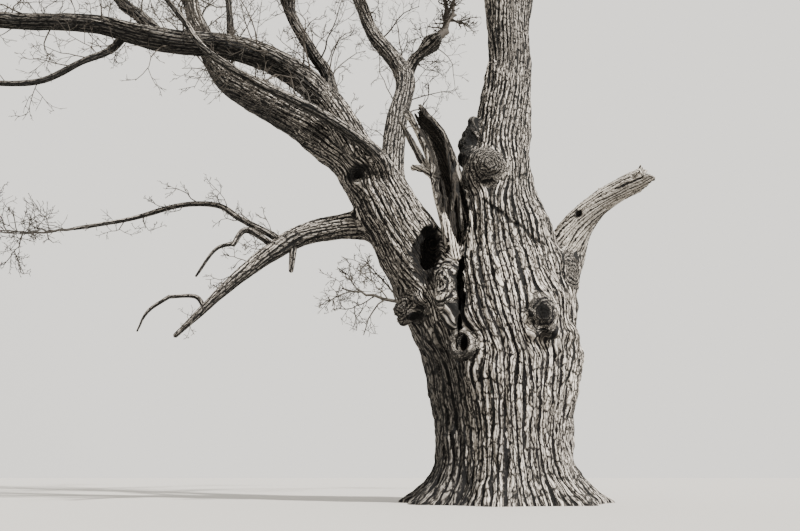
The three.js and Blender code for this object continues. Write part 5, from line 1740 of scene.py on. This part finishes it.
# Steps along a stem, a side branch and a twig, and the sides of their tubes
LEVEL_STEPS, LEVEL_SIDES = (12, 8, 5), (6, 4, 4)
SPRAY_SEED = 500
for group, members in TWIG_GROUPS.items():
    made = TwigSet()
    levels = [], [], []
    for own in [NAMES.index(name) for name in members]:
        for points, radii, level in grow_spray(own, SPRAY_SEED + own):
            levels[level].append((*smooth_branch(points, radii, LEVEL_STEPS[level]), own))
    batches = []
    for branches, sides in zip(levels, LEVEL_SIDES):
        batch = [np.array([branch[part] for branch in branches]) for part in range(3)]
        made.add(*batch, sides)
        batches.append(batch)
    first = grow_finer(made, batches[:2], FINER[0])
    batches = batches[1:] + first
    for rule in FINER[1:]:
        batches = grow_finer(made, batches, rule)
    for limb, start, end, count, length in SHOOTS[group]:
        grow_shoots(made, LINES[limb], start, end, count, length)
    points, quads = np.concatenate(made.points), np.concatenate(made.quads)
    mesh = make_mesh(group, points, quads, np.zeros((0, 3), int))
    for look in TWIG_LOOKS:
        mesh.materials.append(look)
    mesh.polygons.foreach_set("material_index", np.concatenate(made.shades).astype(np.int32))
    piece = placed(group, mesh)
    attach(piece, "root")
    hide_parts(*members)
    print(group, "triangles", 2 * len(quads))

# Stage: plain pale floor, soft light and the camera

FLOOR_HALF = 60
corners = FLOOR_HALF * np.array([(-1, -1, 0), (1, -1, 0), (1, 1, 0), (-1, 1, 0)], float)
floor_mesh = make_mesh("floor", corners, np.array([[0, 1, 2, 3]]), np.zeros((0, 3), int))
floor = placed("floor", floor_mesh)
floor_look, _, floor_shader = new_material("floor_pale")
floor_shader.inputs["Base Color"].default_value = (0.46, 0.445, 0.42, 1)
floor_shader.inputs["Roughness"].default_value = 0.9
floor_mesh.materials.append(floor_look)

world = bpy.data.worlds.new("sky")
world.use_nodes = True
sky = world.node_tree.nodes["Background"]
sky.inputs["Color"].default_value = (0.93, 0.9, 0.84, 1)
# The sky is brightest to the right, behind the tree and above
way = add_node(world.node_tree, "ShaderNodeTexCoord").outputs["Generated"]
lean = vectors(world.node_tree, "DOT_PRODUCT", way, (0.35, 0.6, 0.3))
glow = add_node(world.node_tree, "ShaderNodeMapRange", Value=lean, From_Min=-0.5, From_Max=0.45,
                To_Min=0.85, To_Max=1.6).outputs["Result"]
world.node_tree.links.new(glow, sky.inputs["Strength"])
bpy.context.scene.world = world

SUN_TOWARD, SUN_STRENGTH, SUN_DEGREES = (0.72, -0.62, 0.85), 10.5, 3
key = bpy.data.lights.new("key", "SUN")
key.energy = SUN_STRENGTH
key.angle = math.radians(SUN_DEGREES)
key.color = (1, 0.97, 0.92)
placed("key", key).rotation_euler = Vector(SUN_TOWARD).to_track_quat("Z", "Y").to_euler()

camera_data = bpy.data.cameras.new("camera")
camera_data.lens = CAMERA_LENS
camera_data.sensor_width = FILM_WIDTH
camera_data.clip_end = 300
camera = placed("camera", camera_data)
camera.location = CAMERA_PLACE
camera.rotation_euler = (math.radians(90 + CAMERA_PITCH), 0, 0)
bpy.context.scene.camera = camera
